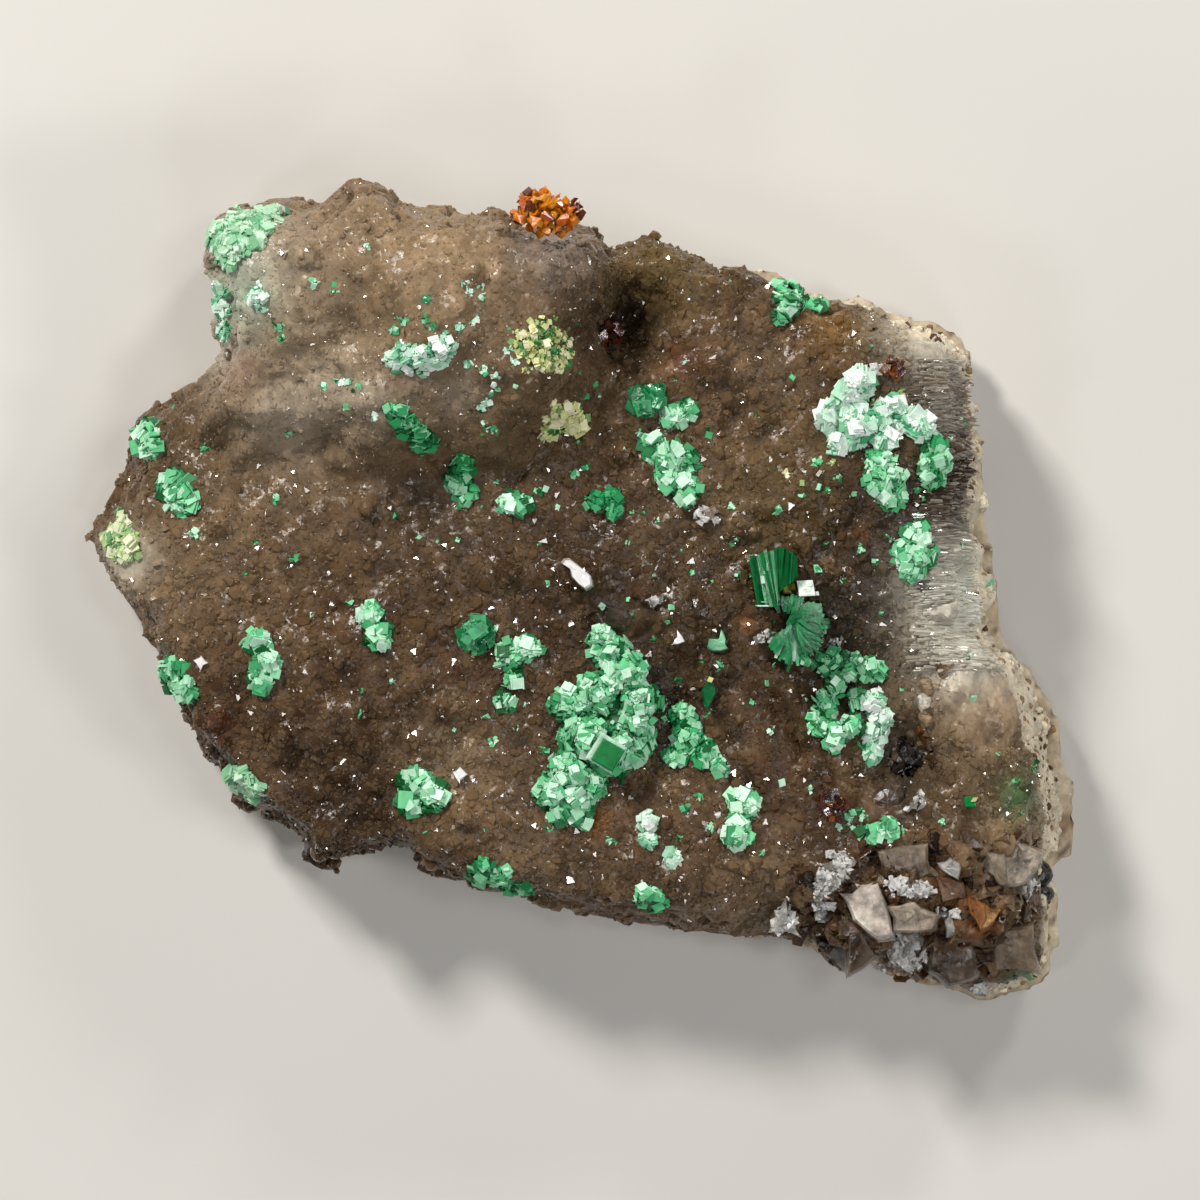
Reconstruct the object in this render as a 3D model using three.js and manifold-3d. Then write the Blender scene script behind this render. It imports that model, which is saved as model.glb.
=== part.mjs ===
// Torbernite on smoky quartz: a hand specimen 40 mm long, lying on its back with the crystals up.
// A crust of drusy smoky quartz sits on a thin rind of host rock. Green torbernite grows on the quartz as
// square plates: jumbled crusts, one thick book, a sheaf and a large rosette. A few grains of iron oxide and
// one black mass grow with it. Millimetres, +Z up, origin under the middle of the specimen on its flat base.
import * as THREE from "three";
import { mergeVertices } from "three/addons/utils/BufferGeometryUtils.js";
import Module from "manifold-3d";

const wasm = await Module();
wasm.setup();

// Driving dimensions
const RIND_THICKNESS = 1.9;
const RIND_UNDERCUT = 1.1;
const CONTACT_GAP = 0.02;
const RIM_Z = 3.3;
const DRUSE_LEVEL = 7.8;
const MOUND_FOOT = 5.5;
const CELL = 1.3;
const LEFT_TIP_DROP = 2.4;
const FRONT_DROP_PER_MM = 0.05;
const WALL_ROUGHNESS = 0.5;
const COLUMN_RADIUS = 0.55;
const COLUMN_PITCH = 1.9;

// The specimen's outline seen from above, clockwise from the left tip.
const OUTLINE = [
  [-20.0, 2.0], [-19.4, 3.2], [-18.7, 4.8], [-18.3, 6.4], [-17.4, 7.5], [-16.0, 8.3], [-15.1, 8.9],
  [-14.8, 9.6], [-15.0, 11.2], [-15.1, 12.8], [-15.3, 14.0], [-14.9, 15.0], [-13.8, 15.5], [-12.0, 15.7],
  [-10.7, 15.7], [-10.1, 16.3], [-9.6, 16.7], [-9.0, 16.8], [-8.4, 16.5], [-8.0, 15.8], [-7.4, 15.5],
  [-6.2, 15.5], [-4.6, 15.2], [-3.6, 15.4], [-2.6, 14.8], [-0.4, 14.6], [0.4, 14.4], [1.1, 13.9],
  [2.0, 14.1], [3.0, 14.1], [4.2, 13.7], [5.5, 13.2], [6.6, 13.1], [7.4, 13.2], [8.6, 12.5],
  [10.2, 11.9], [11.3, 12.1], [12.2, 11.5], [13.8, 11.1], [15.0, 10.7], [15.6, 10.0], [15.9, 9.0],
  [15.8, 7.6], [16.3, 6.0], [16.3, 4.4], [16.3, 3.2], [16.6, 1.8], [16.9, 0.4], [17.0, -1.2],
  [17.2, -2.2], [18.2, -3.2], [19.1, -4.6], [19.5, -6.0], [19.5, -7.2], [20.0, -7.8], [19.9, -10.8],
  [19.0, -11.3], [19.4, -12.8], [19.3, -14.4], [18.9, -16.0], [17.8, -16.4], [16.4, -16.8], [15.2, -16.3],
  [13.6, -16.1], [12.1, -15.6], [11.4, -15.0], [10.4, -15.2], [9.4, -14.7], [8.2, -14.2], [6.2, -14.1],
  [4.6, -13.9], [2.2, -13.6], [-0.2, -13.2], [-1.8, -12.7], [-3.4, -12.2], [-5.2, -11.7], [-6.6, -11.1],
  [-7.3, -10.4], [-8.2, -10.3], [-9.4, -10.6], [-10.2, -11.1], [-11.1, -11.1], [-11.5, -10.0], [-12.9, -9.2],
  [-14.0, -8.4], [-15.2, -6.8], [-16.2, -5.2], [-17.0, -3.6], [-17.4, -2.2], [-18.4, -0.8], [-19.4, 0.6],
];

// Width in plan of the broken quartz wall, by direction from the middle in degrees.
const WALL_WIDTH = [
  [-180, 1.6], [-150, 1.2], [-90, 1.2], [-72, 1.8], [-60, 3.6], [-45, 6.2], [-30, 5.2], [-15, 4.8],
  [0, 3.2], [18, 2.5], [35, 2.2], [50, 1.5], [75, 1.0], [100, 1.4], [130, 2.2],
  [150, 1.6], [180, 1.6],
];

// How far the rind stands out past the quartz, by the same direction.
const RIND_LEDGE = [
  [-180, 0.1], [-62, 0.1], [-45, 0.5], [-20, 0.8], [20, 0.6], [35, 0.5], [50, 0.8], [64, 0.6], [72, 0.1],
  [180, 0.1],
];

// Swells and hollows of the druse: x, y, half-widths along x and y, height.
const RELIEF = [
  [8.6, 4.2, 3.4, 1.5, 0.9], [5.2, 8.6, 1.3, 1.2, 0.9], [2.4, 7.9, 1.6, 1.2, 0.7],
  [2.6, 0.2, 1.3, 1.1, 0.8], [4.3, -0.4, 0.9, 0.9, 0.8], [-0.4, 0.4, 1.4, 1.0, 0.5],
  [-15.0, 1.4, 2.2, 2.6, 0.9], [-8.0, -4.0, 3.2, 2.6, 0.7], [-13.6, -2.4, 1.8, 1.6, 0.6],
  [-3.2, -9.4, 2.6, 1.6, 0.7], [4.8, -10.4, 3.0, 1.8, 0.6], [11.2, 9.0, 2.4, 1.4, 0.6],
  [-6.2, -10.3, 1.4, 0.8, 0.9], [10.2, -3.8, 1.9, 2.2, -2.2], [12.6, -6.8, 1.5, 1.5, -2.8],
  [-10.8, -8.0, 2.0, 1.0, -1.3], [-8.0, -9.6, 1.4, 0.8, -1.6], [-11.4, -0.2, 1.8, 1.2, -0.7],
  [1.5, 10.9, 1.1, 1.6, -3.4], [-6.2, 3.2, 0.6, 0.6, -1.8], [3.8, -4.8, 1.0, 2.2, -0.9],
  [14.4, 4.2, 0.8, 2.4, -0.8], [-6.4, 5.4, 1.8, 0.8, -0.9],
];

// Domes of the raised mound at the upper left: x, y, half-widths along x and y, top.
const MOUND = [
  [-10.6, 12.2, 5.2, 4.4, 11.9], [-5.9, 11.6, 5.2, 4.9, 12.6], [-1.6, 12.4, 2.6, 3.2, 12.9],
  [-2.6, 9.0, 3.0, 2.8, 12.1], [-12.6, 8.2, 2.8, 3.0, 9.9], [-7.8, 8.2, 4.4, 3.2, 11.4],
  [-13.2, 13.6, 2.8, 2.6, 11.0], [-9.0, 15.8, 1.6, 2.0, 11.4], [-4.0, 7.2, 2.4, 2.2, 10.6],
];

// Blocks of broken glassy quartz at the lower right corner: x, y, radius, turn in degrees.
const BLOCKS = [
  [8.2, -12.8, 1.1, 20], [9.5, -11.5, 1.4, 75], [11.0, -12.8, 1.6, 130], [12.9, -12.0, 1.4, 10],
  [12.6, -14.2, 1.2, 55], [10.4, -14.3, 0.9, 100], [14.8, -10.4, 1.1, 35], [16.5, -10.0, 1.6, 80],
  [15.6, -12.8, 1.3, 140], [16.8, -14.6, 1.5, 5],
];

// Quartz points that stand out of the druse: x, y, radius, height.
const QUARTZ_POINTS = [
  [-16.6, -0.4, 0.6, 0.9], [-14.4, 2.6, 0.6, 0.9], [-14.6, -5.0, 0.6, 0.9], 
  [-11.8, -5.8, 0.6, 0.9], [-9.6, -2.6, 0.7, 1.0], [-8.6, 3.4, 0.6, 0.9], 
  [-5.4, -4.6, 0.6, 0.9], [-4.6, -9.0, 0.7, 1.1], [-3.0, 0.6, 0.6, 0.9], [-1.4, -10.8, 0.6, 0.9],
  [-0.1, 0.6, 0.8, 1.3], [1.4, 5.4, 0.6, 0.9], [3.7, -1.9, 0.6, 0.9], [4.9, 2.8, 0.7, 1.0],
  [5.0, 8.8, 0.8, 1.0], [6.8, 6.4, 0.6, 0.9], [7.4, -4.4, 0.6, 0.9],
  [8.6, 1.9, 0.7, 1.0], [-11.0, 13.0, 0.7, 0.9], [-8.0, 13.8, 0.7, 0.9],
  [-7.4, 11.6, 0.7, 0.9], [-4.4, 12.4, 0.7, 0.9], [-9.4, 9.0, 0.6, 0.9],
];

// Torbernite that grows as jumbled square plates: x, y and half-widths of each patch, then the plate width
// and the number of plates. A long or bent growth is several patches in a row.
const CRUSTS = {
  main_rosette: {
    patches: [[-0.3, -8.3, 1.1, 0.9], [0.3, -6.7, 1.3, 1.1], [1.4, -5.2, 1.6, 1.4], [1.6, -3.2, 1.0, 1.2]],
    plate: 1.6, plates: 3, rise: 2.3, tone: "mint",
  },
  rosette_side_lobe: { patches: [[4.1, -6.1, 1.0, 0.9]], plate: 0.8, plates: 2, rise: 0.7, tone: "mint" },
  hollow_crust: {
    patches: [[11.0, -3.2, 0.8, 0.5], [10.0, -4.2, 0.6, 0.8], [10.2, -5.3, 0.7, 0.5]],
    plate: 0.8, plates: 2, rise: 0.8, tone: "green",
  },
  hollow_pale_column: { patches: [[11.6, -5.3, 0.5, 1.1]], plate: 0.7, plates: 2, rise: 0.9, tone: "mint" },
  upper_right_crust: {
    patches: [[10.6, 7.7, 0.7, 0.9], [10.2, 6.4, 0.9, 0.7], [12.3, 6.9, 1.0, 0.6]],
    plate: 0.9, plates: 2, rise: 0.9, tone: "mint",
  },
  ragged_crust: { patches: [[11.9, 4.4, 0.7, 1.0]], plate: 0.7, plates: 3, rise: 0.8, tone: "mint" },
  pendant_bud: { patches: [[13.8, 5.1, 0.5, 0.9]], plate: 0.8, plates: 2, rise: 0.7, tone: "green" },
  right_wall_rosette: { patches: [[13.1, 1.5, 0.8, 0.8]], plate: 0.7, plates: 3, rise: 0.8, tone: "mint" },
  centre_crust: {
    patches: [[2.9, 5.5, 0.8, 0.6], [3.9, 4.5, 0.7, 0.9]],
    plate: 0.7, plates: 2, rise: 0.7, tone: "mint",
  },
  centre_crust_top: { patches: [[3.8, 6.8, 0.7, 0.5]], plate: 0.6, plates: 2, rise: 0.6, tone: "mint" },
  small_book: { patches: [[2.4, 7.4, 0.5, 0.4]], plate: 0.8, plates: 2, rise: 0.6, tone: "green" },
  top_edge_crust: { patches: [[8.5, 11.5, 1.0, 0.6]], plate: 0.8, plates: 2, rise: 0.7, tone: "mint" },
  corner_patch: { patches: [[-13.2, 14.2, 1.6, 1.0]], plate: 1.1, plates: 3, rise: 0.7, tone: "mint" },
  bluff_crust: { patches: [[-14.3, 11.2, 0.7, 1.2]], plate: 0.8, plates: 2, rise: 0.6, tone: "mint" },
  mound_crust: { patches: [[-6.2, 9.1, 1.4, 0.5]], plate: 0.6, plates: 3, rise: 0.6, tone: "mint" },
  yellow_crust: { patches: [[-1.7, 9.4, 1.1, 1.0]], plate: 0.6, plates: 2, rise: 0.6, tone: "yellow" },
  gold_rimmed_crust: { patches: [[-0.7, 6.7, 0.8, 0.6]], plate: 0.7, plates: 2, rise: 0.6, tone: "yellow" },
  overhang_buds: { patches: [[-6.6, 6.1, 0.7, 0.7]], plate: 0.7, plates: 2, rise: 0.6, tone: "green" },
  vug_crust: { patches: [[-4.8, 4.4, 0.5, 0.9]], plate: 0.7, plates: 2, rise: 0.6, tone: "green" },
  flat_crust: { patches: [[-2.7, 3.4, 0.7, 0.4]], plate: 0.6, plates: 2, rise: 0.5, tone: "mint" },
  dark_group: { patches: [[0.7, 3.3, 0.7, 0.4]], plate: 0.6, plates: 2, rise: 0.5, tone: "green" },
  left_patch: { patches: [[-16.1, 3.9, 0.6, 0.7]], plate: 0.8, plates: 2, rise: 0.5, tone: "mint" },
  left_rim_patch: { patches: [[-17.5, 6.1, 0.6, 0.7]], plate: 0.8, plates: 2, rise: 0.5, tone: "mint" },
  tip_patch: { patches: [[-18.5, 1.9, 0.8, 0.9]], plate: 0.9, plates: 2, rise: 0.5, tone: "yellow" },
  left_edge_bud: { patches: [[-16.2, -3.6, 0.7, 0.7]], plate: 0.9, plates: 2, rise: 0.6, tone: "green" },
  left_arc: { patches: [[-12.7, -2.8, 0.6, 1.0]], plate: 0.7, plates: 2, rise: 0.6, tone: "mint" },
  lower_left_rim: { patches: [[-13.5, -7.6, 0.6, 0.6]], plate: 0.8, plates: 2, rise: 0.5, tone: "mint" },
  round_bud: { patches: [[-4.2, -1.8, 0.5, 0.5]], plate: 0.8, plates: 2, rise: 0.7, tone: "green" },
  west_pair: { patches: [[-8.2, -1.5, 0.6, 0.7]], plate: 0.6, plates: 2, rise: 0.6, tone: "mint" },
  forked_crust: { patches: [[-2.4, -2.5, 0.9, 0.6]], plate: 0.7, plates: 2, rise: 0.6, tone: "mint" },
  lower_patch: { patches: [[-6.3, -7.9, 0.8, 0.7]], plate: 0.8, plates: 2, rise: 0.6, tone: "mint" },
  front_edge_crust: { patches: [[-3.3, -11.3, 1.0, 0.6]], plate: 0.9, plates: 2, rise: 0.6, tone: "green" },
  front_crust: { patches: [[2.7, -12.1, 0.6, 0.5]], plate: 0.6, plates: 2, rise: 0.5, tone: "mint" },
  hourglass: { patches: [[6.3, -9.0, 0.5, 0.8]], plate: 0.7, plates: 2, rise: 0.7, tone: "mint" },
  blade_group: { patches: [[2.5, -9.4, 0.4, 0.8]], plate: 0.6, plates: 2, rise: 0.5, tone: "mint" },
  wedge: { patches: [[5.3, -2.0, 0.4, 0.4]], plate: 0.7, plates: 2, rise: 0.5, tone: "mint" },
  ledge_crust: { patches: [[11.8, -9.5, 0.8, 0.4]], plate: 0.6, plates: 2, rise: 0.5, tone: "mint" },
};

// The book: thick parallel plates seen edge on, and the sheaf below it, plates fanned about one line.
const BOOK = { x: 7.4, y: 0.6, plates: 8, pitch: 0.24, width: 2.3, height: 2.0, turn: 6 };
const SHEAF = { x: 8.6, y: -1.2, plates: 8, thickness: 0.26, width: 1.5, height: 1.5, rows: 2, spread: 62 };

// Iron oxide and the black mass: centre x, y, half-widths, how high the middle stands over the quartz.
const GRAINS = {
  orange_iron_oxide: { at: [-1.5, 14.7, 11.4], size: [1.35, 1.1, 1.2], tone: "orange" },
  red_brown_grain_upper: { at: [12.0, 8.8], size: [0.6, 0.4, 0.5], tone: "rust" },
  red_brown_grain_lower: { at: [9.9, -8.5], size: [0.6, 0.5, 0.6], tone: "rust" },
  rust_in_crevice: { at: [0.7, 10.2], size: [0.6, 0.9, 0.9], tone: "rust" },
  black_oxide_mass: { at: [12.7, -7.0], size: [1.3, 1.5, 0.9], tone: "black" },
};

const COLOURS = {
  quartz: { color: 0x6b5847, roughness: 0.3, metalness: 0 },
  rind: { color: 0xb5a083, roughness: 0.85, metalness: 0 },
  mint: { color: 0x8fd9b0, roughness: 0.5, metalness: 0 },
  green: { color: 0x12804b, roughness: 0.3, metalness: 0 },
  yellow: { color: 0xc8cf83, roughness: 0.6, metalness: 0 },
  orange: { color: 0xd2740e, roughness: 0.25, metalness: 0 },
  rust: { color: 0x6e2a10, roughness: 0.4, metalness: 0 },
  black: { color: 0x1b1817, roughness: 0.35, metalness: 0 },
};

const radians = THREE.MathUtils.degToRad;
const PRISM_AXIS = new THREE.Vector3(0, 1, 0);
const directions = OUTLINE.map(([x, y]) => new THREE.Vector2(x, y));

// A repeatable number from 0 to 1 for each whole number.
function scatter(index) {
  const value = Math.sin(index * 12.9898 + 4.137) * 43758.5453;
  return value - Math.floor(value);
}

// The value of a table of [degrees, value] rows in a direction.
function byDirection(table, point) {
  const angle = THREE.MathUtils.radToDeg(Math.atan2(point.y, point.x));
  const next = Math.max(1, table.findIndex(([degrees]) => degrees >= angle));
  const [fromAngle, fromValue] = table[next - 1];
  const [toAngle, toValue] = table[next];
  return THREE.MathUtils.mapLinear(angle, fromAngle, toAngle, fromValue, toValue);
}

// Height of the druse over its floor, with the mound.
function druseHeight(x, y) {
  const towardsTip = Math.max(0, (-x - 9) / 10);
  let z = DRUSE_LEVEL - LEFT_TIP_DROP * towardsTip ** 1.5 - FRONT_DROP_PER_MM * Math.max(0, -y);
  z += 0.18 * Math.sin(1.9 * x + 0.7) * Math.cos(2.3 * y - 0.4) + 0.12 * Math.sin(3.1 * x - 1.3 * y);
  for (const [cx, cy, rx, ry, height] of RELIEF)
    z += height * Math.exp(-(((x - cx) / rx) ** 2) - ((y - cy) / ry) ** 2);
  for (const [cx, cy, rx, ry, top] of MOUND) {
    const inside = 1 - ((x - cx) / rx) ** 2 - ((y - cy) / ry) ** 2;
    if (inside > 0) z = Math.max(z, MOUND_FOOT + (top - MOUND_FOOT) * inside ** 0.42);
  }
  return z;
}

// A ring of points, one in each of the outline's directions, set in from the outline.
function ring(setIn, height) {
  return directions.map((point, i) => {
    const length = point.length();
    const at = point.clone().multiplyScalar((length - setIn(point, i, length)) / length);
    return new THREE.Vector3(at.x, at.y, height(at, point, i));
  });
}

// One closed surface through rings of points, from a pole under them to a pole over them.
function loft(lowPole, rings, highPole) {
  const count = rings[0].length;
  const points = [lowPole, ...rings.flat(), highPole];
  const faces = [];
  const last = points.length - 1;
  for (let i = 0; i < count; i++) {
    const j = (i + 1) % count;
    faces.push(0, 1 + i, 1 + j);
    faces.push(last, last - count + j, last - count + i);
    for (let r = 0; r < rings.length - 1; r++) {
      const low = 1 + r * count;
      const high = low + count;
      faces.push(low + i, high + i, low + j, low + j, high + i, high + j);
    }
  }
  const geometry = new THREE.BufferGeometry().setFromPoints(points);
  geometry.setIndex(faces);
  return geometry;
}

// A closed geometry as a solid, after its own scale, turn and place.
function solid(geometry, { at = [0, 0, 0], size = [1, 1, 1], frame = new THREE.Quaternion() } = {}) {
  const placed = geometry.clone();
  for (const name of Object.keys(placed.attributes)) if (name !== "position") placed.deleteAttribute(name);
  const place = new THREE.Matrix4().compose(new THREE.Vector3(...at), frame, new THREE.Vector3(...size));
  const merged = mergeVertices(placed.applyMatrix4(place), 1e-4);
  return new wasm.Manifold(
    new wasm.Mesh({
      numProp: 3,
      vertProperties: merged.attributes.position.array,
      triVerts: new Uint32Array(merged.index.array),
    }),
  );
}

function geometryOf(made) {
  const mesh = made.getMesh();
  const geometry = new THREE.BufferGeometry();
  geometry.setAttribute("position", new THREE.BufferAttribute(mesh.vertProperties, 3));
  geometry.setIndex(new THREE.BufferAttribute(mesh.triVerts, 1));
  const flat = geometry.toNonIndexed();
  flat.computeVertexNormals();
  return flat;
}

function boxesMeet(one, other) {
  const [a, b] = [one.boundingBox(), other.boundingBox()];
  return [0, 1, 2].every((k) => a.min[k] <= b.max[k] && b.min[k] <= a.max[k]);
}

const join = (solids) => solids.reduce((sum, next) => sum.add(next));

function turned(x, y, z) {
  return new THREE.Quaternion().setFromEuler(new THREE.Euler(radians(x), radians(y), radians(z)));
}

// The host rock: a plate with a flat base, chipped back all round underneath.
function makeRind() {
  const base = ring((point, i) => RIND_UNDERCUT * (0.6 + 0.8 * scatter(i)), () => 0);
  const edge = ring(() => 0, () => RIND_THICKNESS);
  return solid(loft(new THREE.Vector3(0, 0, 0), [base, edge], new THREE.Vector3(0, 0, RIND_THICKNESS)));
}

// The walls of the quartz crust: underside, rim, and the broken edge that leans in towards the top.
function makeWalls() {
  const floor = RIND_THICKNESS + CONTACT_GAP;
  const ceiling = 2 * DRUSE_LEVEL;
  const rough = (i) => WALL_ROUGHNESS * (scatter(i) - 0.5);
  const halfway = (point) => 0.5 * (RIM_Z + druseHeight(point.x, point.y)) + 0.6;
  const rings = [
    ring((point) => byDirection(RIND_LEDGE, point), () => floor),
    ring(
      (point, i) => 1.3 * byDirection(RIND_LEDGE, point) + 0.25 + rough(i),
      (at, point, i) => RIM_Z + rough(i + 9),
    ),
    ring(
      (point, i) => 0.5 * byDirection(WALL_WIDTH, point) + rough(i + 100),
      (at, point, i) => halfway(at) + 2 * rough(i + 50),
    ),
    ring((point) => byDirection(WALL_WIDTH, point), (at) => druseHeight(at.x, at.y) + 0.2),
    ring((point) => byDirection(WALL_WIDTH, point), () => ceiling),
  ];
  return solid(loft(new THREE.Vector3(0, 0, floor), rings, new THREE.Vector3(0, 0, ceiling)));
}

// A slab wider than the specimen whose top is the druse, on a grid of uneven cells.
function makeDruse() {
  const [width, depth] = [44, 38];
  const slab = new THREE.BoxGeometry(width, depth, 1, Math.round(width / CELL), Math.round(depth / CELL), 1);
  const position = slab.attributes.position;
  for (let i = 0; i < position.count; i++) {
    const [column, row] = [Math.round(position.getX(i) / CELL), Math.round(position.getY(i) / CELL)];
    const x = position.getX(i) + 0.45 * (scatter(column * 7 + row * 113) - 0.5);
    const y = position.getY(i) + 0.45 * (scatter(column * 31 + row * 17 + 5) - 0.5);
    position.setXYZ(i, x, y, position.getZ(i) > 0 ? druseHeight(x, y) : 0);
  }
  return solid(slab);
}

// Six-sided quartz prisms side by side along the broken right wall, from the rind up to the druse.
function makeColumns() {
  const columns = [];
  const bottomZ = 2.6;
  for (let y = 9.2, i = 0; y > -6.5; y -= COLUMN_PITCH, i++) {
    const out = new THREE.Vector2(lengthAt(y), y);
    const width = byDirection(WALL_WIDTH, out);
    const foot = new THREE.Vector3(out.x - 0.25 * width, y, bottomZ);
    const head = new THREE.Vector3(out.x - 0.98 * width, y + 0.3 * (scatter(i) - 0.5), DRUSE_LEVEL - 0.1);
    const along = head.clone().sub(foot);
    const middle = foot.clone().add(head).multiplyScalar(0.5);
    const frame = new THREE.Quaternion().setFromUnitVectors(PRISM_AXIS, along.clone().normalize());
    const radius = COLUMN_RADIUS * (0.9 + 0.4 * scatter(i + 30));
    const prism = new THREE.CylinderGeometry(radius * 0.75, radius, along.length(), 5);
    columns.push(solid(prism, { at: middle.toArray(), frame }));
  }
  return columns;
}

// Distance from the middle line to the right-hand outline at a given y.
function lengthAt(y) {
  for (let i = 1; i < OUTLINE.length; i++) {
    const [[x0, y0], [x1, y1]] = [OUTLINE[i - 1], OUTLINE[i]];
    if (x0 > 10 && y0 >= y && y1 <= y) return THREE.MathUtils.mapLinear(y, y0, y1, x0, x1);
  }
  return OUTLINE[0][0];
}

function makeBlocks(ground) {
  const shapes = [
    new THREE.DodecahedronGeometry(1),
    new THREE.OctahedronGeometry(1.2),
    new THREE.BoxGeometry(1.5, 1.6, 1.4),
  ];
  return BLOCKS.map(([x, y, radius, turn], i) =>
    solid(shapes[i % shapes.length], {
      at: [x, y, ground(x, y).z - 0.25 * radius],
      size: [radius, radius * 0.85, radius],
      frame: turned(20 + turn, turn / 2, turn),
    }),
  );
}

// Quartz points: a six-sided prism with a pointed head, leaning a little, its foot in the druse.
function makePoints(ground) {
  return QUARTZ_POINTS.map(([x, y, radius, height], i) => {
    const profile = [
      new THREE.Vector2(0, -0.5),
      new THREE.Vector2(radius * 1.2, -0.3),
      new THREE.Vector2(0, height),
    ];
    const { z, normal } = ground(x, y);
    const lean = new THREE.Vector3(scatter(i) - 0.5, scatter(i + 70) - 0.5, 0).multiplyScalar(0.7);
    const axis = normal.clone().add(lean).normalize();
    const frame = new THREE.Quaternion().setFromUnitVectors(PRISM_AXIS, axis);
    return solid(new THREE.LatheGeometry(profile, 6), { at: [x, y, z], frame });
  });
}

// The top surface of a solid: height and facing over a point.
function groundOf(made) {
  const mesh = new THREE.Mesh(geometryOf(made), new THREE.MeshBasicMaterial());
  const ray = new THREE.Raycaster();
  return (x, y) => {
    ray.set(new THREE.Vector3(x, y, 50), new THREE.Vector3(0, 0, -1));
    const [hit] = ray.intersectObject(mesh);
    return { z: hit.point.z, normal: hit.face.normal.clone() };
  };
}

// Jumbled square plates over a low core, one core to a patch.
function makeCrystals({ patches, plate, plates, rise }, ground, seed) {
  const tile = new THREE.BoxGeometry(1, 1, 0.35);
  const made = [];
  patches.forEach(([x, y, rx, ry], p) => {
    const { z } = ground(x, y);
    const turn = 90 * scatter(seed + p);
    made.push(solid(tile, { at: [x, y, z + 0.1 * rise], size: [1.5 * rx, 1.5 * ry, 2.4 * rise] }));
    for (let k = 0; k < plates; k++) {
      const index = seed + 17 * p + k;
      const angle = 2.4 * k + radians(turn);
      const reach = k ? 0.62 : 0;
      const at = [x + rx * reach * Math.cos(angle), y + ry * reach * Math.sin(angle)];
      const width = plate * (0.9 + 0.3 * scatter(index));
      const [tip, roll] = [64 * scatter(index + 1) - 32, 90 * scatter(index + 2) - 45];
      const frame = turned(tip, roll, turn + 90 * scatter(index + 3));
      const lift = rise * (0.6 - 0.5 * reach * reach);
      made.push(solid(tile, { at: [...at, z + lift], size: [width, width, width], frame }));
    }
  });
  return join(made);
}

// The book: upright plates side by side, each a little off its neighbour.
function makeBook(ground) {
  const { x, y, plates, pitch, width, height, turn } = BOOK;
  const { z } = ground(x, y);
  const frame = turned(0, -12, turn);
  return join(
    Array.from({ length: plates }, (none, k) => {
      const sheet = new THREE.BoxGeometry(pitch * 1.15, width * (0.88 + 0.12 * scatter(k)), height);
      const along = (k - (plates - 1) / 2) * pitch;
      const offset = new THREE.Vector3(along, 0.16 * (scatter(k + 9) - 0.5), 0.1 * scatter(k + 3));
      offset.applyQuaternion(frame);
      return solid(sheet, { at: [x + offset.x, y + offset.y, z + 0.6 + offset.z], frame });
    }),
  );
}

// The sheaf: rows of plates that open like a fan, each row below the last.
function makeSheaf(ground) {
  const { x, y, plates, thickness, width, height, rows, spread } = SHEAF;
  const made = [];
  const { z } = ground(x, y);
  for (let row = 0; row < rows; row++)
    for (let k = 0; k < plates / 2; k++) {
      const lean = spread * (k / (plates / 2 - 1) - 0.5);
      const sheet = new THREE.BoxGeometry(width, thickness, height);
      const at = [x + 0.15 * (row % 2), y + 0.6 - 1.1 * row, z + 0.45];
      made.push(solid(sheet, { at, frame: turned(lean, 8 * row, 18 - 14 * row) }));
    }
  return join(made);
}

function makeGrain({ at: [x, y, z], size }, ground) {
  const middle = z ?? ground(x, y).z + 0.1;
  const lump = new THREE.DodecahedronGeometry(1);
  const side = new THREE.BoxGeometry(1.1, 1.1, 1.1);
  return join([
    solid(lump, { at: [x, y, middle], size, frame: turned(0, 0, 25) }),
    solid(side, { at: [x - 0.3 * size[0], y, middle + 0.3 * size[2]], size, frame: turned(30, 40, 10) }),
    solid(side, { at: [x + 0.4 * size[0], y, middle + 0.1 * size[2]], size, frame: turned(60, 15, 50) }),
  ]);
}

const specimen = new THREE.Group();

function place(name, made, tone) {
  const mesh = new THREE.Mesh(geometryOf(made), new THREE.MeshStandardMaterial(COLOURS[tone]));
  mesh.name = name;
  specimen.add(mesh);
}

// A solid with a copy of its own shape grown by the contact gap about its middle.
function swollen(made) {
  const { min, max } = made.boundingBox();
  const middle = [0, 1, 2].map((k) => (min[k] + max[k]) / 2);
  const size = [0, 1, 2].map((k) => 1 + (2 * CONTACT_GAP) / (max[k] - min[k]));
  const at = [0, 1, 2].map((k) => middle[k] * (1 - size[k]));
  return solid(geometryOf(made), { at, size });
}

const rind = makeRind();
const body = join([makeWalls().intersect(makeDruse()), ...makeColumns()]);
const bodyGround = groundOf(body);
const quartz = join([body, ...makeBlocks(bodyGround), ...makePoints(bodyGround)]);
const ground = groundOf(quartz);
place("host_rock_rind", rind, "rind");
place("smoky_quartz_crust", quartz, "quartz");

// What grows on the quartz is cut clear of it and of its neighbours, and is one body.
const grown = [solid(geometryOf(quartz), { at: [0, 0, CONTACT_GAP] })];
function grow(name, made, tone) {
  const near = grown.filter((other) => boxesMeet(other, made));
  const rest = near.reduce((left, other) => left.subtract(other), made);
  const largest = rest.decompose().reduce((best, next) => (next.volume() > best.volume() ? next : best));
  grown.push(swollen(largest));
  place(name, largest, tone);
}

grow("torbernite_book", makeBook(ground), "green");
grow("torbernite_sheaf", makeSheaf(ground), "green");
Object.entries(CRUSTS).forEach(([name, crust], i) =>
  grow("torbernite_" + name, makeCrystals(crust, ground, 100 * i), crust.tone),
);
for (const [name, grain] of Object.entries(GRAINS)) grow(name, makeGrain(grain, ground), grain.tone);

export default specimen;
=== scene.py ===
import math

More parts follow.
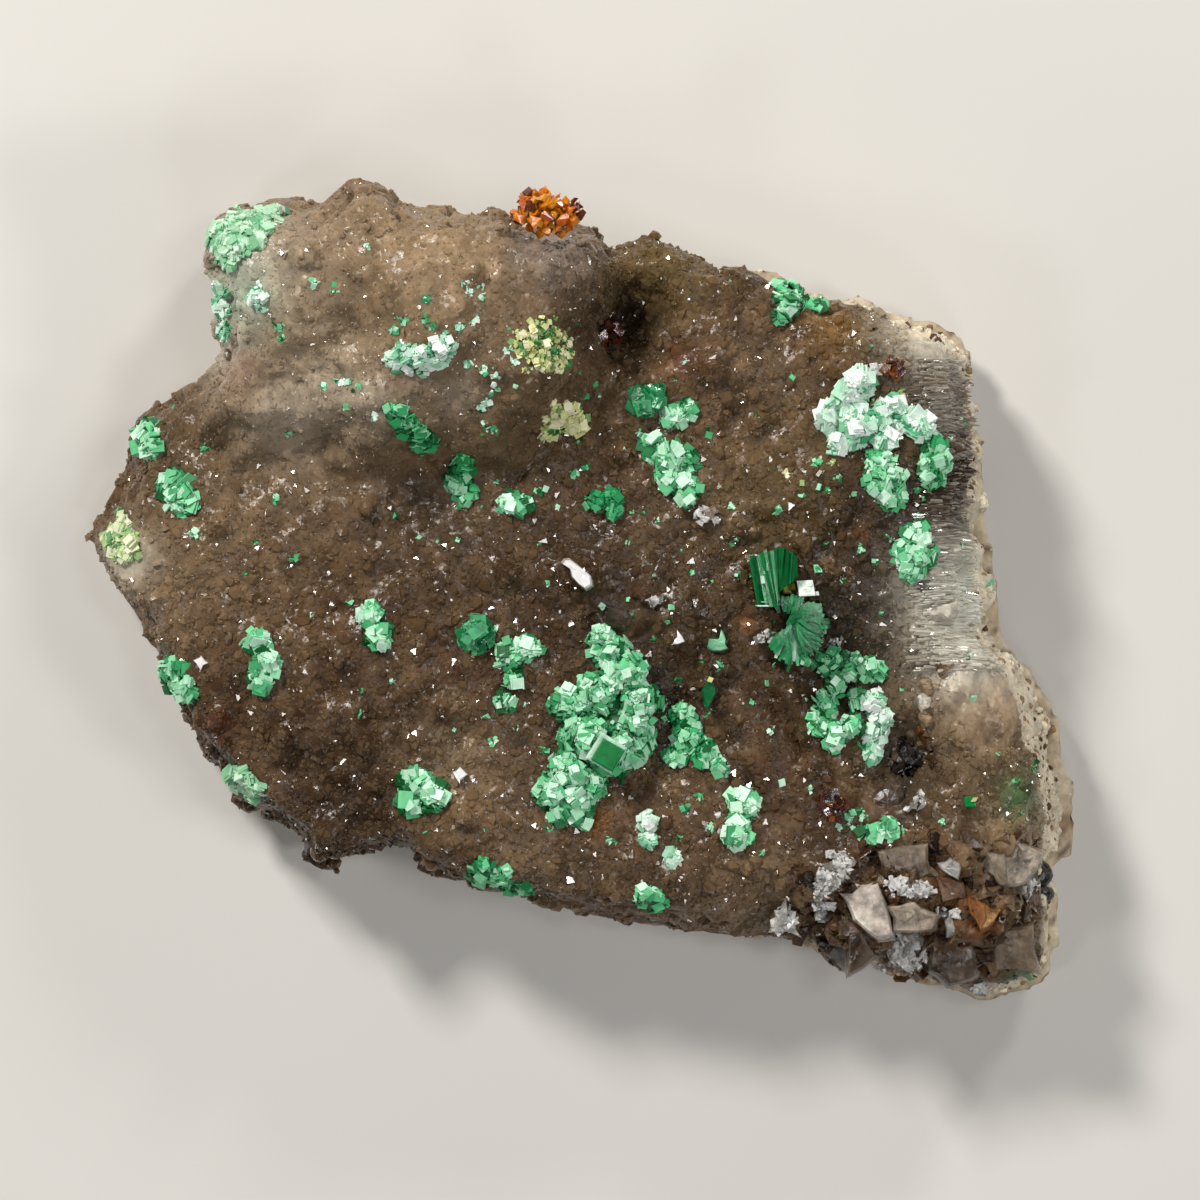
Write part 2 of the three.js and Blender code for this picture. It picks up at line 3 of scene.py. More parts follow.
import bmesh
import bpy
import numpy as np
from mathutils import Matrix, Vector, noise
from mathutils.bvhtree import BVHTree


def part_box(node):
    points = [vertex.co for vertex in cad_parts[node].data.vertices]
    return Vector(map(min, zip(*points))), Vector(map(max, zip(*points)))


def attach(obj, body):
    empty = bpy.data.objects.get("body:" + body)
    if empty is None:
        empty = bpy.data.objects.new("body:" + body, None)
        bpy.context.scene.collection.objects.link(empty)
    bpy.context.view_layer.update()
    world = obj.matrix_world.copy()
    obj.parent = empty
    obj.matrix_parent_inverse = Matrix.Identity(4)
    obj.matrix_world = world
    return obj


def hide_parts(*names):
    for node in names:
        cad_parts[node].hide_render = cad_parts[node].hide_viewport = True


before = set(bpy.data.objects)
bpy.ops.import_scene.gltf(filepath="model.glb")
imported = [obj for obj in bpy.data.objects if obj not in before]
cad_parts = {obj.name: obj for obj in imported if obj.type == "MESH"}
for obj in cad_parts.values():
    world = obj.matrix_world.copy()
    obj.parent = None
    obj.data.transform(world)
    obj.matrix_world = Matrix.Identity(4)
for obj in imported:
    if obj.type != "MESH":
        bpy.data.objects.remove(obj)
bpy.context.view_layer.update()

MM = 0.001
SEED = 7
rng = np.random.default_rng(SEED)
# The tilts in facets_at come from noise_vector, which differs from run to run without a seed
noise.seed_set(SEED)

# Camera and floor
VIEW_WIDTH = 48.0
VIEW_CENTRE = (0.64, -0.4)
FOCUS_HEIGHT = 5.0
LENS = 200.0
SENSOR = 36.0
NEAREST = 10.0
FARTHEST = 4000.0
FLOOR_HALF = 1500.0
FLOOR_CLOUDS = 60.0
FLOOR_DROP = 0.02

# Lights: name, azimuth, elevation, distance, size, watts, colour
LIGHTS = [
    ("key", 128, 42, 300, 50, 0.86, (1.0, 0.96, 0.9)),
    ("fill", -20, 46, 320, 60, 0.26, (1.0, 0.98, 0.95)),
    ("rim", 60, 28, 300, 50, 0.28, (1.0, 0.97, 0.93)),
    ("left", 215, 52, 300, 40, 0.08, (1.0, 1.0, 1.0)),
    ("top", 20, 76, 300, 40, 0.08, (1.0, 1.0, 1.0)),
    ("front", 290, 60, 300, 40, 0.07, (1.0, 1.0, 1.0)),
]
SURROUND_COLOUR = (1.0, 0.97, 0.93, 1)
SURROUND_STRENGTH = 0.12

# Cell sizes and counts, and how the quartz is shaded
BODY_VOXEL = 0.22
RIND_VOXEL = 0.3
SUGAR_POINTS = 20000
FINE_POINTS = 11000
LARGE_POINTS = 1000
COMB_PRISMS = 2200
RIND_GRAINS = 2200
PLATES_PER_MM2 = 72
# Painted shade in the clefts between the quartz's small lumps, and painted light on their tops: colour
# factors
PAINTED_CLEFT_SHADE = 0.45
PAINTED_LUMP_LIGHT = 1.15
TINT_SPREAD = 0.05
# Painted glints: the share of points smaller than GLINT_SIZE that are painted snow white
GLINT_SHARE = 0.03
GLINT_SIZE = 0.11

# Colours as seen, 0 to 255
BROWN = (80, 53, 29)
DARK_BROWN = (38, 23, 11)
MILKY = (120, 96, 68)
TAN = (178, 152, 118)
AMBER_BROWN = (104, 60, 22)
GREY = (150, 144, 138)
PINKISH = (196, 174, 152)
PALE_QUARTZ = (220, 212, 196)
COMB_WHITE = (252, 248, 230)
GLITTER = (232, 228, 224)
CREAM = (236, 224, 198)
SNOW = (252, 251, 248)
RIND_BROWN = (158, 130, 94)
SPECK = (88, 58, 36)
MINT = (108, 204, 148)
WHITE_MINT = (208, 248, 222)
FROST = (238, 250, 243)
MID_GREEN = (36, 150, 88)
DEEP_GREEN = (4, 104, 56)
EMERALD = (0, 78, 36)
BRIGHT_EMERALD = (6, 136, 66)
YELLOW_MINT = (222, 220, 146)
ORANGE = (232, 132, 16)
RUST = (120, 40, 12)
BLACK = (26, 22, 20)
OLIVE = (112, 92, 48)
GOLD = (158, 112, 44)
HONEY = (176, 104, 24)
PALE_HONEY = (222, 158, 78)
ASH = (146, 136, 130)
PEARL = (232, 218, 206)
SAND = (196, 178, 158)
PALE_DUN = (170, 154, 134)
DUN = (150, 134, 114)
SMOKE = (134, 116, 98)
DARK_SMOKE = (92, 78, 66)
UMBER = (84, 64, 44)
DARK_UMBER = (70, 52, 36)
MOSS = (150, 150, 70)
DARK_MOSS = (120, 110, 40)
MILKY_MINT = (132, 208, 166)
FLOOR_DARK = (196, 194, 190)
FLOOR_LIGHT = (203, 201, 198)

# A full turn in radians, for random spins
FULL_TURN = 6.28
# Where the noise ramps start and end: most of the noise lies between them
NOISE_LOW = 0.3
NOISE_HIGH = 0.7


def linear(colour):
    """An 8-bit display colour as linear light."""
    c = np.asarray(colour, float) / 255
    return np.where(c <= 0.04045, c / 12.92, ((c + 0.055) / 1.055) ** 2.4)


# Meshes

def new_object(name, verts, faces, tint=None, smooth=False):
    """An object from points in millimetres and triangles, with a colour for each point."""
    mesh = bpy.data.meshes.new(name)
    verts = np.asarray(verts, np.float32) * MM
    faces = np.asarray(faces, np.int32)
    mesh.vertices.add(len(verts))
    mesh.vertices.foreach_set("co", verts.ravel())
    mesh.loops.add(faces.size)
    mesh.loops.foreach_set("vertex_index", faces.ravel())
    mesh.polygons.add(len(faces))
    mesh.polygons.foreach_set("loop_start", np.arange(0, faces.size, 3, dtype=np.int32))
    mesh.update(calc_edges=True)
    mesh.validate()
    mesh.polygons.foreach_set("use_smooth", np.full(len(mesh.polygons), smooth))
    if tint is not None:
        paint(mesh, tint)
    obj = bpy.data.objects.new(name, mesh)
    bpy.context.scene.collection.objects.link(obj)
    return obj


def paint(mesh, tint):
    """Stores a colour for each point of a mesh."""
    layer = mesh.color_attributes.new(name="tint", type="FLOAT_COLOR", domain="POINT")
    rgba = np.ones((len(mesh.vertices), 4), np.float32)
    rgba[:, :3] = tint
    layer.data.foreach_set("color", rgba.ravel())


def ring_solid(sides, rings, low, high, twist=0.0):
    """Points and triangles of a closed solid of rings (radius, height) between two poles."""
    verts = [(0, 0, low)]
    for k, (radius, height) in enumerate(rings):
        for i in range(sides):
            angle = 2 * math.pi * i / sides + twist * k
            verts.append((radius * math.cos(angle), radius * math.sin(angle), height))
    verts.append((0, 0, high))
    last = len(verts) - 1
    faces = []
    for i in range(sides):
        j = (i + 1) % sides
        faces.append((0, 1 + j, 1 + i))
        for k in range(len(rings) - 1):
            a, b = 1 + k * sides, 1 + (k + 1) * sides
            faces += [(a + i, a + j, b + i), (a + j, b + j, b + i)]
        faces.append((last - sides + i, last - sides + j, last))
    return np.array(verts, float), np.array(faces, int)


def point_solid(sides, rings, high):
    """Points and triangles of rings (radius, height) from a flat foot up to a point."""
    verts = []
    for radius, height in rings:
        for i in range(sides):
            angle = 2 * math.pi * i / sides
            verts.append((radius * math.cos(angle), radius * math.sin(angle), height))
    verts.append((0, 0, high))
    last = len(verts) - 1
    faces = [(0, i + 1, i) for i in range(1, sides - 1)]
    for i in range(sides):
        j = (i + 1) % sides
        for k in range(len(rings) - 1):
            a, b = k * sides, (k + 1) * sides
            faces += [(a + i, a + j, b + i), (a + j, b + j, b + i)]
        faces.append((last - sides + i, last - sides + j, last))
    return np.array(verts, float), np.array(faces, int)


def slab(corners, low, high):
    """A closed block over four corners (x, y), from low to the heights of its four top corners."""
    verts = [(x, y, low) for x, y in corners] + [(x, y, z) for (x, y), z in zip(corners, high)]
    faces = [(0, 2, 1), (0, 3, 2), (4, 5, 6), (4, 6, 7)]
    for i in range(4):
        j = (i + 1) % 4
        faces += [(i, j, 4 + j), (i, 4 + j, 4 + i)]
    return np.array(verts, float), np.array(faces, int)


SUGAR = point_solid(3, [(1, -0.3)], 1.0)
FINE_POINT = point_solid(6, [(1, -0.3)], 1.0)
LARGE_POINT = point_solid(6, [(1, -0.5), (0.94, 0.3)], 1.0)
PRISM = ring_solid(6, [(1, -0.45), (0.9, 0.4)], -0.5, 0.5)
GRAIN = ring_solid(5, [(1, -0.3), (0.8, 0.4)], -0.7, 0.8, 0.5)
TABLET = ring_solid(4, [(0.62, -0.5), (0.71, -0.3), (0.71, 0.3), (0.62, 0.5)], -0.5, 0.5)
PLATE = slab([(-0.5, -0.5), (0.5, -0.5), (0.5, 0.5), (-0.5, 0.5)], -0.5, [0.5] * 4)


def frames(axes, spin):
    """Rotation matrices that turn +Z to each axis, after a spin about it."""
    z = axes / np.linalg.norm(axes, axis=1, keepdims=True)
    helper = np.where(np.abs(z[:, :1]) > 0.8, [[0.0, 1.0, 0.0]], [[1.0, 0.0, 0.0]])
    x = np.cross(helper, z)
    x /= np.linalg.norm(x, axis=1, keepdims=True)
    y = np.cross(z, x)
    c, s = np.cos(spin)[:, None], np.sin(spin)[:, None]
    return np.stack([c * x + s * y, c * y - s * x, z], axis=2)


def between(ends, share):
    """The value at a share of the way from the first of two ends to the second."""
    return ends[0] + (ends[1] - ends[0]) * share


def copies(template, at, axes, spin, size):
    """Copies of a template, each with its own place, axis, spin and size along its three axes."""
    verts, faces = template
    local = verts[None] * size[:, None, :]
    world = np.einsum("nij,nvj->nvi", frames(axes, spin), local) + at[:, None, :]
    offsets = np.arange(len(at))[:, None, None] * len(verts)
    return world.reshape(-1, 3), (faces[None] + offsets).reshape(-1, 3)


def spread(values, template):
    """One value for each copy, repeated for each of its points."""
    return np.repeat(values, len(template[0]), axis=0)


def join_arrays(parts):
    """Several (points, triangles, tint) as one."""
    verts, faces, tints, base = [], [], [], 0
    for v, f, t in parts:
        verts.append(v)
        faces.append(f + base)
        tints.append(t)
        base += len(v)
    return np.concatenate(verts), np.concatenate(faces), np.concatenate(tints)


def arrays_of(mesh):
    """Points in millimetres, triangles and facings of a mesh."""
    mesh.calc_loop_triangles()
    verts = np.empty(len(mesh.vertices) * 3, np.float32)
    mesh.vertices.foreach_get("co", verts)
    faces = np.empty(len(mesh.loop_triangles) * 3, np.int32)
    mesh.loop_triangles.foreach_get("vertices", faces)
    normals = np.empty(len(mesh.vertices) * 3, np.float32)
    mesh.vertices.foreach_get("normal", normals)
    return verts.reshape(-1, 3) / MM, faces.reshape(-1, 3), normals.reshape(-1, 3)


def remeshed(node, voxel, smooth_steps):
    """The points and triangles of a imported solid, remade as even small cells and softened."""
    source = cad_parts[node]
    work = bpy.data.objects.new("work", source.data.copy())
    bpy.context.scene.collection.objects.link(work)
    remesh = work.modifiers.new("cells", "REMESH")
    remesh.mode = "VOXEL"
    remesh.voxel_size = voxel * MM
    soften = work.modifiers.new("soften", "SMOOTH")
    soften.factor = 0.5
    soften.iterations = smooth_steps
    bpy.context.view_layer.update()
    made = bpy.data.meshes.new_from_object(work.evaluated_get(bpy.context.evaluated_depsgraph_get()))
    arrays = arrays_of(made)
    bpy.data.objects.remove(work)
    bpy.data.meshes.remove(made)
    return arrays


def noise_at(points, scale, seed=0.0):
    """Smooth noise from -1 to 1 at each point; scale is the size of its lumps."""
    shift = Vector((seed, 1.7 * seed, -seed))
    return np.array([noise.noise(Vector(p) / scale + shift) for p in points.tolist()])


def lumps_at(points, scale, seed=0.0):
    """Rounded lumps side by side: 1 at the middle of each, 0 at the clefts between them."""
    shift = Vector((seed, -seed, 2.3 * seed))
    near = np.array([noise.voronoi(Vector(p) / scale + shift)[0][0] for p in points.tolist()])
    return 1 - np.clip(near, 0, 1) ** 2


def clefts_at(points, scale, seed=0.0):
    """1 on the seams between neighbouring lumps, falling to 0 inside them."""
    shift = Vector((seed, -seed, 2.3 * seed))
    pairs = np.array([noise.voronoi(Vector(p) / scale + shift)[0][:2] for p in points.tolist()])
    return np.clip(1 - (pairs[:, 1] - pairs[:, 0]) / 0.28, 0, 1)


def facets_at(points, scale, seed=0.0):
    """Height over broken flat faces side by side, each tilted its own way, about -0.5 to 0.5."""
    shift = Vector((seed, -seed, 2.3 * seed))
    heights = []
    for p in points.tolist():
        place = Vector(p) / scale + shift
        middle = noise.voronoi(place)[1][0]
        tilt = noise.noise_vector(5.3 * middle).normalized()
        heights.append((place - middle).dot(tilt))
    return np.array(heights)


# Materials

BUMP_DEPTH = 0.05


class Nodes:
    """A material's node tree, with short calls for the nodes used here."""

    def __init__(self, name):
        self.material = bpy.data.materials.new(name)
        self.material.use_nodes = True
        self.tree = self.material.node_tree
        self.shader = self.tree.nodes["Principled BSDF"]
        self.place = self.add("ShaderNodeTexCoord").outputs["Object"]

    def add(self, kind, **values):
        node = self.tree.nodes.new(kind)
        for key, value in values.items():
            setattr(node, key, value)
        return node

    def link(self, source, target):
        self.tree.links.new(source, target)
        return self

    def set(self, **sockets):
        for key, value in sockets.items():
            self.shader.inputs[key.replace("_", " ")].default_value = value
        return self

    def noise(self, size, detail=3.0, roughness=0.6):
        """Noise whose lumps are size millimetres."""
        node = self.add("ShaderNodeTexNoise")
        node.inputs["Scale"].default_value = 1 / (size * MM)
        node.inputs["Detail"].default_value = detail
        node.inputs["Roughness"].default_value = roughness
        self.link(self.place, node.inputs["Vector"])
        return node.outputs["Fac"]

    def ramp(self, source, *stops):
        """A colour ramp of (place, colour as seen)."""
        node = self.add("ShaderNodeValToRGB")
        ramp = node.color_ramp
        while len(ramp.elements) < len(stops):
            ramp.elements.new(1.0)
        for element, (place, colour) in zip(ramp.elements, stops):
            element.position = place
            element.color = (*linear(colour), 1)
        self.link(source, node.inputs["Fac"])
        return node.outputs["Color"]

    def remap(self, source, low, high):
        node = self.add("ShaderNodeMapRange")
        node.inputs["From Min"].default_value = NOISE_LOW
        node.inputs["From Max"].default_value = NOISE_HIGH
        node.inputs["To Min"].default_value = low
        node.inputs["To Max"].default_value = high
        self.link(source, node.inputs["Value"])
        return node.outputs["Result"]

    def mix(self, factor, one, other, blend="MIX"):
        node = self.add("ShaderNodeMix", data_type="RGBA", blend_type=blend)
        for socket, value in ((0, factor), (6, one), (7, other)):
            if isinstance(value, bpy.types.NodeSocket):
                self.link(value, node.inputs[socket])
            else:
                node.inputs[socket].default_value = value
        return node.outputs[2]

    def tint(self):
        return self.add("ShaderNodeVertexColor", layer_name="tint").outputs["Color"]

    def facets(self, size):
        """Height of flat faces size millimetres wide, side by side, each tilted its own way."""
        cells = self.add("ShaderNodeTexVoronoi")
        cells.inputs["Scale"].default_value = 1 / (size * MM)
        self.link(self.place, cells.inputs["Vector"])
        inside = self.add("ShaderNodeVectorMath", operation="SUBTRACT")
        self.link(self.place, inside.inputs[0])
        self.link(cells.outputs["Position"], inside.inputs[1])
        tilt = self.add("ShaderNodeVectorMath", operation="SUBTRACT")
        self.link(cells.outputs["Color"], tilt.inputs[0])
        tilt.inputs[1].default_value = (0.5, 0.5, 0.5)
        slope = self.add("ShaderNodeVectorMath", operation="DOT_PRODUCT")
        self.link(inside.outputs["Vector"], slope.inputs[0])
        self.link(tilt.outputs["Vector"], slope.inputs[1])
        in_cells = self.add("ShaderNodeMath", operation="DIVIDE")
        in_cells.inputs[1].default_value = size * MM
        self.link(slope.outputs["Value"], in_cells.inputs[0])
        return in_cells.outputs["Value"]

    def sum(self, one, other, share):
        """The first value and a share of the other."""
        node = self.add("ShaderNodeMath", operation="MULTIPLY_ADD")
        self.link(other, node.inputs[0])
        node.inputs[1].default_value = share
        self.link(one, node.inputs[2])
        return node.outputs["Value"]

    def bump(self, height, strength, distance):
        node = self.add("ShaderNodeBump")
        node.inputs["Strength"].default_value = strength
        node.inputs["Distance"].default_value = distance * MM
        self.link(height, node.inputs["Height"])
        self.link(node.outputs["Normal"], self.shader.inputs["Normal"])
        return self


def tinted(name, cell, low, high, roughness, bump, facets=(), **sockets):
    """The mesh's own tint, varied by noise in colour, gloss and relief; facets are (width, height)."""
    nodes = Nodes(name)
    shade = nodes.ramp(nodes.noise(cell), (NOISE_LOW, [low] * 3), (NOISE_HIGH, [high] * 3))
    colour = nodes.mix(1.0, nodes.tint(), shade, "MULTIPLY")
    nodes.link(colour, nodes.shader.inputs["Base Color"])
    nodes.link(nodes.remap(nodes.noise(cell * 0.6), *roughness), nodes.shader.inputs["Roughness"])
    height = nodes.noise(cell * 0.3, 4.0)
    for width, share in facets:
        height = nodes.sum(height, nodes.facets(width), share)
    nodes.bump(height, bump, BUMP_DEPTH)
    nodes.set(**sockets)
    return nodes.material


def quartz_material():
    return tinted(
        "drusy_quartz", 0.9, 205, 255, (0.2, 0.4), 0.6, ((0.55, 7.0), (0.22, 3.0)),
        IOR=1.54, Specular_IOR_Level=0.3, Subsurface_Weight=0.3, Subsurface_Radius=(1.0, 0.7, 0.45),
        Subsurface_Scale=0.9 * MM,
    )


def point_material():
    return tinted(
        "quartz_points", 0.9, 225, 255, (0.03, 0.12), 0.1,
        IOR=1.54, Transmission_Weight=0.2, Subsurface_Weight=0.2, Subsurface_Radius=(1.0, 0.8, 0.6),
        Subsurface_Scale=0.5 * MM,
    )


def clear_quartz_material():
    return tinted(
        "glassy_quartz", 0.35, 165, 255, (0.05, 0.2), 0.5, ((0.3, 4.0),),
        IOR=1.54, Transmission_Weight=0.18, Subsurface_Weight=0.2, Subsurface_Radius=(1.0, 0.85, 0.7),
        Subsurface_Scale=0.6 * MM,
    )


def rind_material():
    return tinted("host_rock", 0.5, 190, 255, (0.7, 0.95), 0.8, IOR=1.5)


def torbernite_material():
    return tinted(
        "torbernite_crust", 0.35, 228, 255, (0.4, 0.62), 0.3,
        IOR=1.5, Specular_IOR_Level=0.3, Subsurface_Weight=0.1, Subsurface_Radius=(0.5, 1.0, 0.7),
        Subsurface_Scale=0.25 * MM,
    )


def emerald_material():
    return tinted(
        "torbernite_glassy", 0.4, 205, 255, (0.08, 0.22), 0.3,
        IOR=1.59, Transmission_Weight=0.12, Subsurface_Weight=0.3, Subsurface_Radius=(0.4, 1.0, 0.6),
        Subsurface_Scale=0.3 * MM,
    )


def amber_material():
    return tinted(
        "amber_oxide", 0.3, 170, 255, (0.06, 0.2), 0.2,
        IOR=1.7, Transmission_Weight=0.06, Subsurface_Weight=0.5, Subsurface_Radius=(1.0, 0.5, 0.15),
        Subsurface_Scale=0.35 * MM,
    )


def oxide_material():
    return tinted(
        "iron_oxide", 0.3, 150, 255, (0.06, 0.22), 0.3,
        IOR=1.9, Transmission_Weight=0.15, Subsurface_Weight=0.2, Subsurface_Radius=(1.0, 0.6, 0.3),
        Subsurface_Scale=0.2 * MM,
    )


QUARTZ = quartz_material()
POINT = point_material()
GLASSY = clear_quartz_material()
RIND = rind_material()
TORBERNITE = torbernite_material()
EMERALD_GLASS = emerald_material()
AMBER = amber_material()
OXIDE = oxide_material()


def piece(obj, material, slot, *nodes):
    """Gives a mesh its material and its body, and hides the imported solids it stands for; the slot is not
    used.
    """
    obj.data.materials.clear()
    obj.data.materials.append(material)
    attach(obj, "root")
    if nodes:
        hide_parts(*nodes)
    return obj


# Camera, floor and light

def add_camera():
    data = bpy.data.cameras.new("camera")
    data.lens = LENS
    data.sensor_width = SENSOR
    distance = VIEW_WIDTH * LENS / SENSOR
    camera = bpy.data.objects.new("camera", data)
    camera.location = Vector((*VIEW_CENTRE, FOCUS_HEIGHT + distance)) * MM
    data.clip_start = NEAREST * MM
    data.clip_end = FARTHEST * MM
    bpy.context.scene.collection.objects.link(camera)
    bpy.context.scene.camera = camera


def add_floor():
    corners = [(x * FLOOR_HALF, y * FLOOR_HALF, 0) for x, y in ((-1, -1), (1, -1), (1, 1), (-1, 1))]
    floor = new_object("floor", corners, [(0, 1, 2), (0, 2, 3)])
    nodes = Nodes("pale_floor")
    tone = nodes.ramp(nodes.noise(FLOOR_CLOUDS, 2.0), (NOISE_LOW, FLOOR_DARK), (NOISE_HIGH, FLOOR_LIGHT))
    nodes.link(tone, nodes.shader.inputs["Base Color"])
    nodes.set(Roughness=0.8)
    floor.data.materials.append(nodes.material)
    floor.location.z = -FLOOR_DROP * MM


def add_light(name, azimuth, elevation, distance, size, watts, colour):
    """A soft square light that looks at the middle of the specimen."""
    data = bpy.data.lights.new(name, "AREA")
    data.size = size * MM
    data.energy = watts
    data.color = colour
    light = bpy.data.objects.new(name, data)
    a, e = math.radians(azimuth), math.radians(elevation)
    away = Vector((math.cos(a) * math.cos(e), math.sin(a) * math.cos(e), math.sin(e)))
    light.location = away * distance * MM
    light.rotation_mode = "QUATERNION"
    light.rotation_quaternion = away.to_track_quat("Z", "Y")
    bpy.context.scene.collection.objects.link(light)


def add_stage():
    """The camera, the floor, the lights and the pale surroundings."""
    add_camera()
    add_floor()
    for row in LIGHTS:
        add_light(*row)
    world = bpy.data.worlds.new("studio")
    world.use_nodes = True
    surround = world.node_tree.nodes["Background"].inputs
    surround["Color"].default_value = SURROUND_COLOUR
    surround["Strength"].default_value = SURROUND_STRENGTH
    bpy.context.scene.world = world
    bpy.context.scene.view_settings.view_transform = "Standard"


# The matrix

# Noise over the quartz and the rind: size of its lumps in millimetres, and seed
CLOUDS = (3.0, 5.0)
MOTTLES = (0.9, 15.0)
VEINS = (1.7, 21.0)
VEIN_GAPS = (3.6, 31.0)
LARGE_LUMPS = (1.5, 3.0)
SMALL_LUMPS = (0.7, 8.0)
TOP_FACETS = (1.1, 6.0)
WALL_WAVES = (1.3, 2.0)
WALL_FACETS = (2.0, 4.0)
WALL_CHIPS = (0.9, 9.0)
RIND_WAVES = (0.7, 1.0)
RIND_GRIT = (0.3, 6.0)
RIND_CLOUDS = (1.2, 9.0)
RIND_SPECKS = (0.35, 11.0)

# How high the relief of the quartz stands, and how far its tops are set back for it
LARGE_LUMP_HEIGHT = 0.24
SMALL_LUMP_HEIGHT = 0.1
TOP_FACET_HEIGHT = 0.14
TOP_SINK = 0.15
WALL_WAVE_HEIGHT = 0.2
WALL_FACET_HEIGHT = 0.62
WALL_CHIP_HEIGHT = 0.3

# Stains, tones and painted shadows of the quartz: x, y, radius, colour, strength
# Painted shadow: the black spots right of the main rosette, round the sheaf, beside and in the hollow crust,
# The black ones round the black mass are partly its own colour and partly painted shade.
# and the dark brown ones from right of the sheaf up to the upper right crust.
# round the grey dome, in the crevice right of the mound, in the vug hole and in the cavity at the lower
# right,
TONES_AND_PAINTED_SHADOWS = [
    (-8.0, 11.5, 7.5, TAN, 0.64), (-14.0, 12.5, 3.0, PALE_QUARTZ, 0.4), (-17.5, 0.0, 3.0, TAN, 0.45),
    (-18.2, 1.2, 1.1, PALE_QUARTZ, 0.7), (-12.0, 8.8, 3.0, TAN, 0.3), (-14.0, 3.0, 4.0, TAN, 0.15),
    (-8.8, 11.6, 1.3, DARK_BROWN, 0.4), (-10.0, 7.8, 1.9, PALE_QUARTZ, 0.25),
    (-12.0, 6.6, 1.5, PALE_QUARTZ, 0.3), (-13.6, 11.6, 1.5, WHITE_MINT, 0.35), (-5.0, 13.4, 2.0, TAN, 0.3),
    (-3.4, 8.6, 2.0, DARK_BROWN, 0.3), (3.0, 12.8, 2.6, OLIVE, 0.6), (8.5, 3.6, 3.0, OLIVE, 0.45),
    (9.8, 10.4, 1.1, GOLD, 0.45), (11.6, 10.0, 1.8, OLIVE, 0.4), (-1.2, 13.3, 1.5, ASH, 0.6),
    (14.0, 9.9, 1.7, PALE_QUARTZ, 0.75), (13.6, 11.0, 1.6, CREAM, 0.75), (4.0, 3.2, 2.2, TAN, 0.2),
    (7.0, 7.5, 3.0, TAN, 0.15), (14.3, 6.9, 0.9, PALE_QUARTZ, 0.6), (6.45, -1.3, 0.3, ORANGE, 0.5),
    (-13.4, 8.7, 0.7, RUST, 0.45), (3.8, 9.0, 0.9, RUST, 0.25), (11.0, 2.2, 0.35, ORANGE, 0.4),
    (0.4, -9.2, 0.6, ORANGE, 0.25), (-14.5, -5.3, 0.6, RUST, 0.3), (-9.6, -8.8, 2.6, DARK_BROWN, 0.6),
    (0.5, 1.0, 4.0, DARK_BROWN, 0.5), (4.0, -2.0, 3.5, DARK_BROWN, 0.4), (11.6, 2.6, 3.2, DARK_BROWN, 0.65),
    (14.4, 4.6, 2.2, DARK_BROWN, 0.6), (11.5, -1.0, 3.0, DARK_BROWN, 0.8),
    (-7.0, 1.5, 4.0, DARK_BROWN, 0.25), (2.7, -3.0, 0.6, BLACK, 0.8), (3.2, -4.2, 0.8, BLACK, 0.9),
    (3.3, -5.4, 0.8, BLACK, 0.9), (3.2, -6.6, 0.7, BLACK, 0.8), (8.9, -3.4, 0.6, BLACK, 0.7),
    (9.0, -4.4, 0.4, BLACK, 0.6), (10.2, -0.4, 1.1, BLACK, 0.5), (10.4, -2.0, 0.9, BLACK, 0.5),
    (12.9, -8.4, 0.4, BLACK, 0.8), (12.6, -9.2, 0.35, BLACK, 0.8), (10.7, -4.7, 0.6, BLACK, 0.6),
    (-5.0, -7.2, 2.0, TAN, 0.35), (12.5, -6.0, 2.0, BLACK, 0.6), (12.8, -6.5, 1.0, BLACK, 0.8),
    (13.0, -7.6, 0.6, BLACK, 0.8), (3.2, -3.4, 0.5, BLACK, 0.8), (1.2, 10.6, 1.6, BLACK, 0.7),
    (-6.2, 3.2, 1.1, BLACK, 0.7), (15.6, -4.6, 3.0, TAN, 0.55), (16.4, -4.0, 1.4, PINKISH, 0.35),
    (15.3, -0.5, 2.2, COMB_WHITE, 1.0), (15.6, 0.6, 1.6, COMB_WHITE, 0.7),
    (15.4, -2.2, 1.3, COMB_WHITE, 0.7), (-14.2, 9.5, 1.3, PALE_QUARTZ, 0.35),
    (-8.0, 7.2, 1.2, PALE_QUARTZ, 0.22), (-5.0, 7.6, 1.0, PALE_QUARTZ, 0.22),
    (14.4, -3.4, 1.2, PALE_QUARTZ, 0.4), (6.0, -13.0, 3.0, TAN, 0.3), (-2.0, -10.5, 3.0, TAN, 0.2),
    (16.0, -12.5, 3.6, TAN, 0.2), (16.9, -10.7, 1.5, TAN, 0.5), (15.7, -13.0, 0.7, ORANGE, 0.5),
    (14.6, -12.0, 1.2, AMBER_BROWN, 0.7), (15.4, -15.0, 2.0, DARK_BROWN, 0.35),
    (17.3, -8.2, 0.9, MID_GREEN, 0.35), (18.4, -11.7, 0.85, BLACK, 0.9), (19.4, -9.4, 1.0, CREAM, 0.6),
    (19.5, -8.0, 0.8, CREAM, 0.6), (18.2, -15.8, 1.0, MINT, 0.4), (18.6, -6.9, 0.5, DEEP_GREEN, 0.5),
    (16.2, 1.0, 0.6, MINT, 0.35),
]


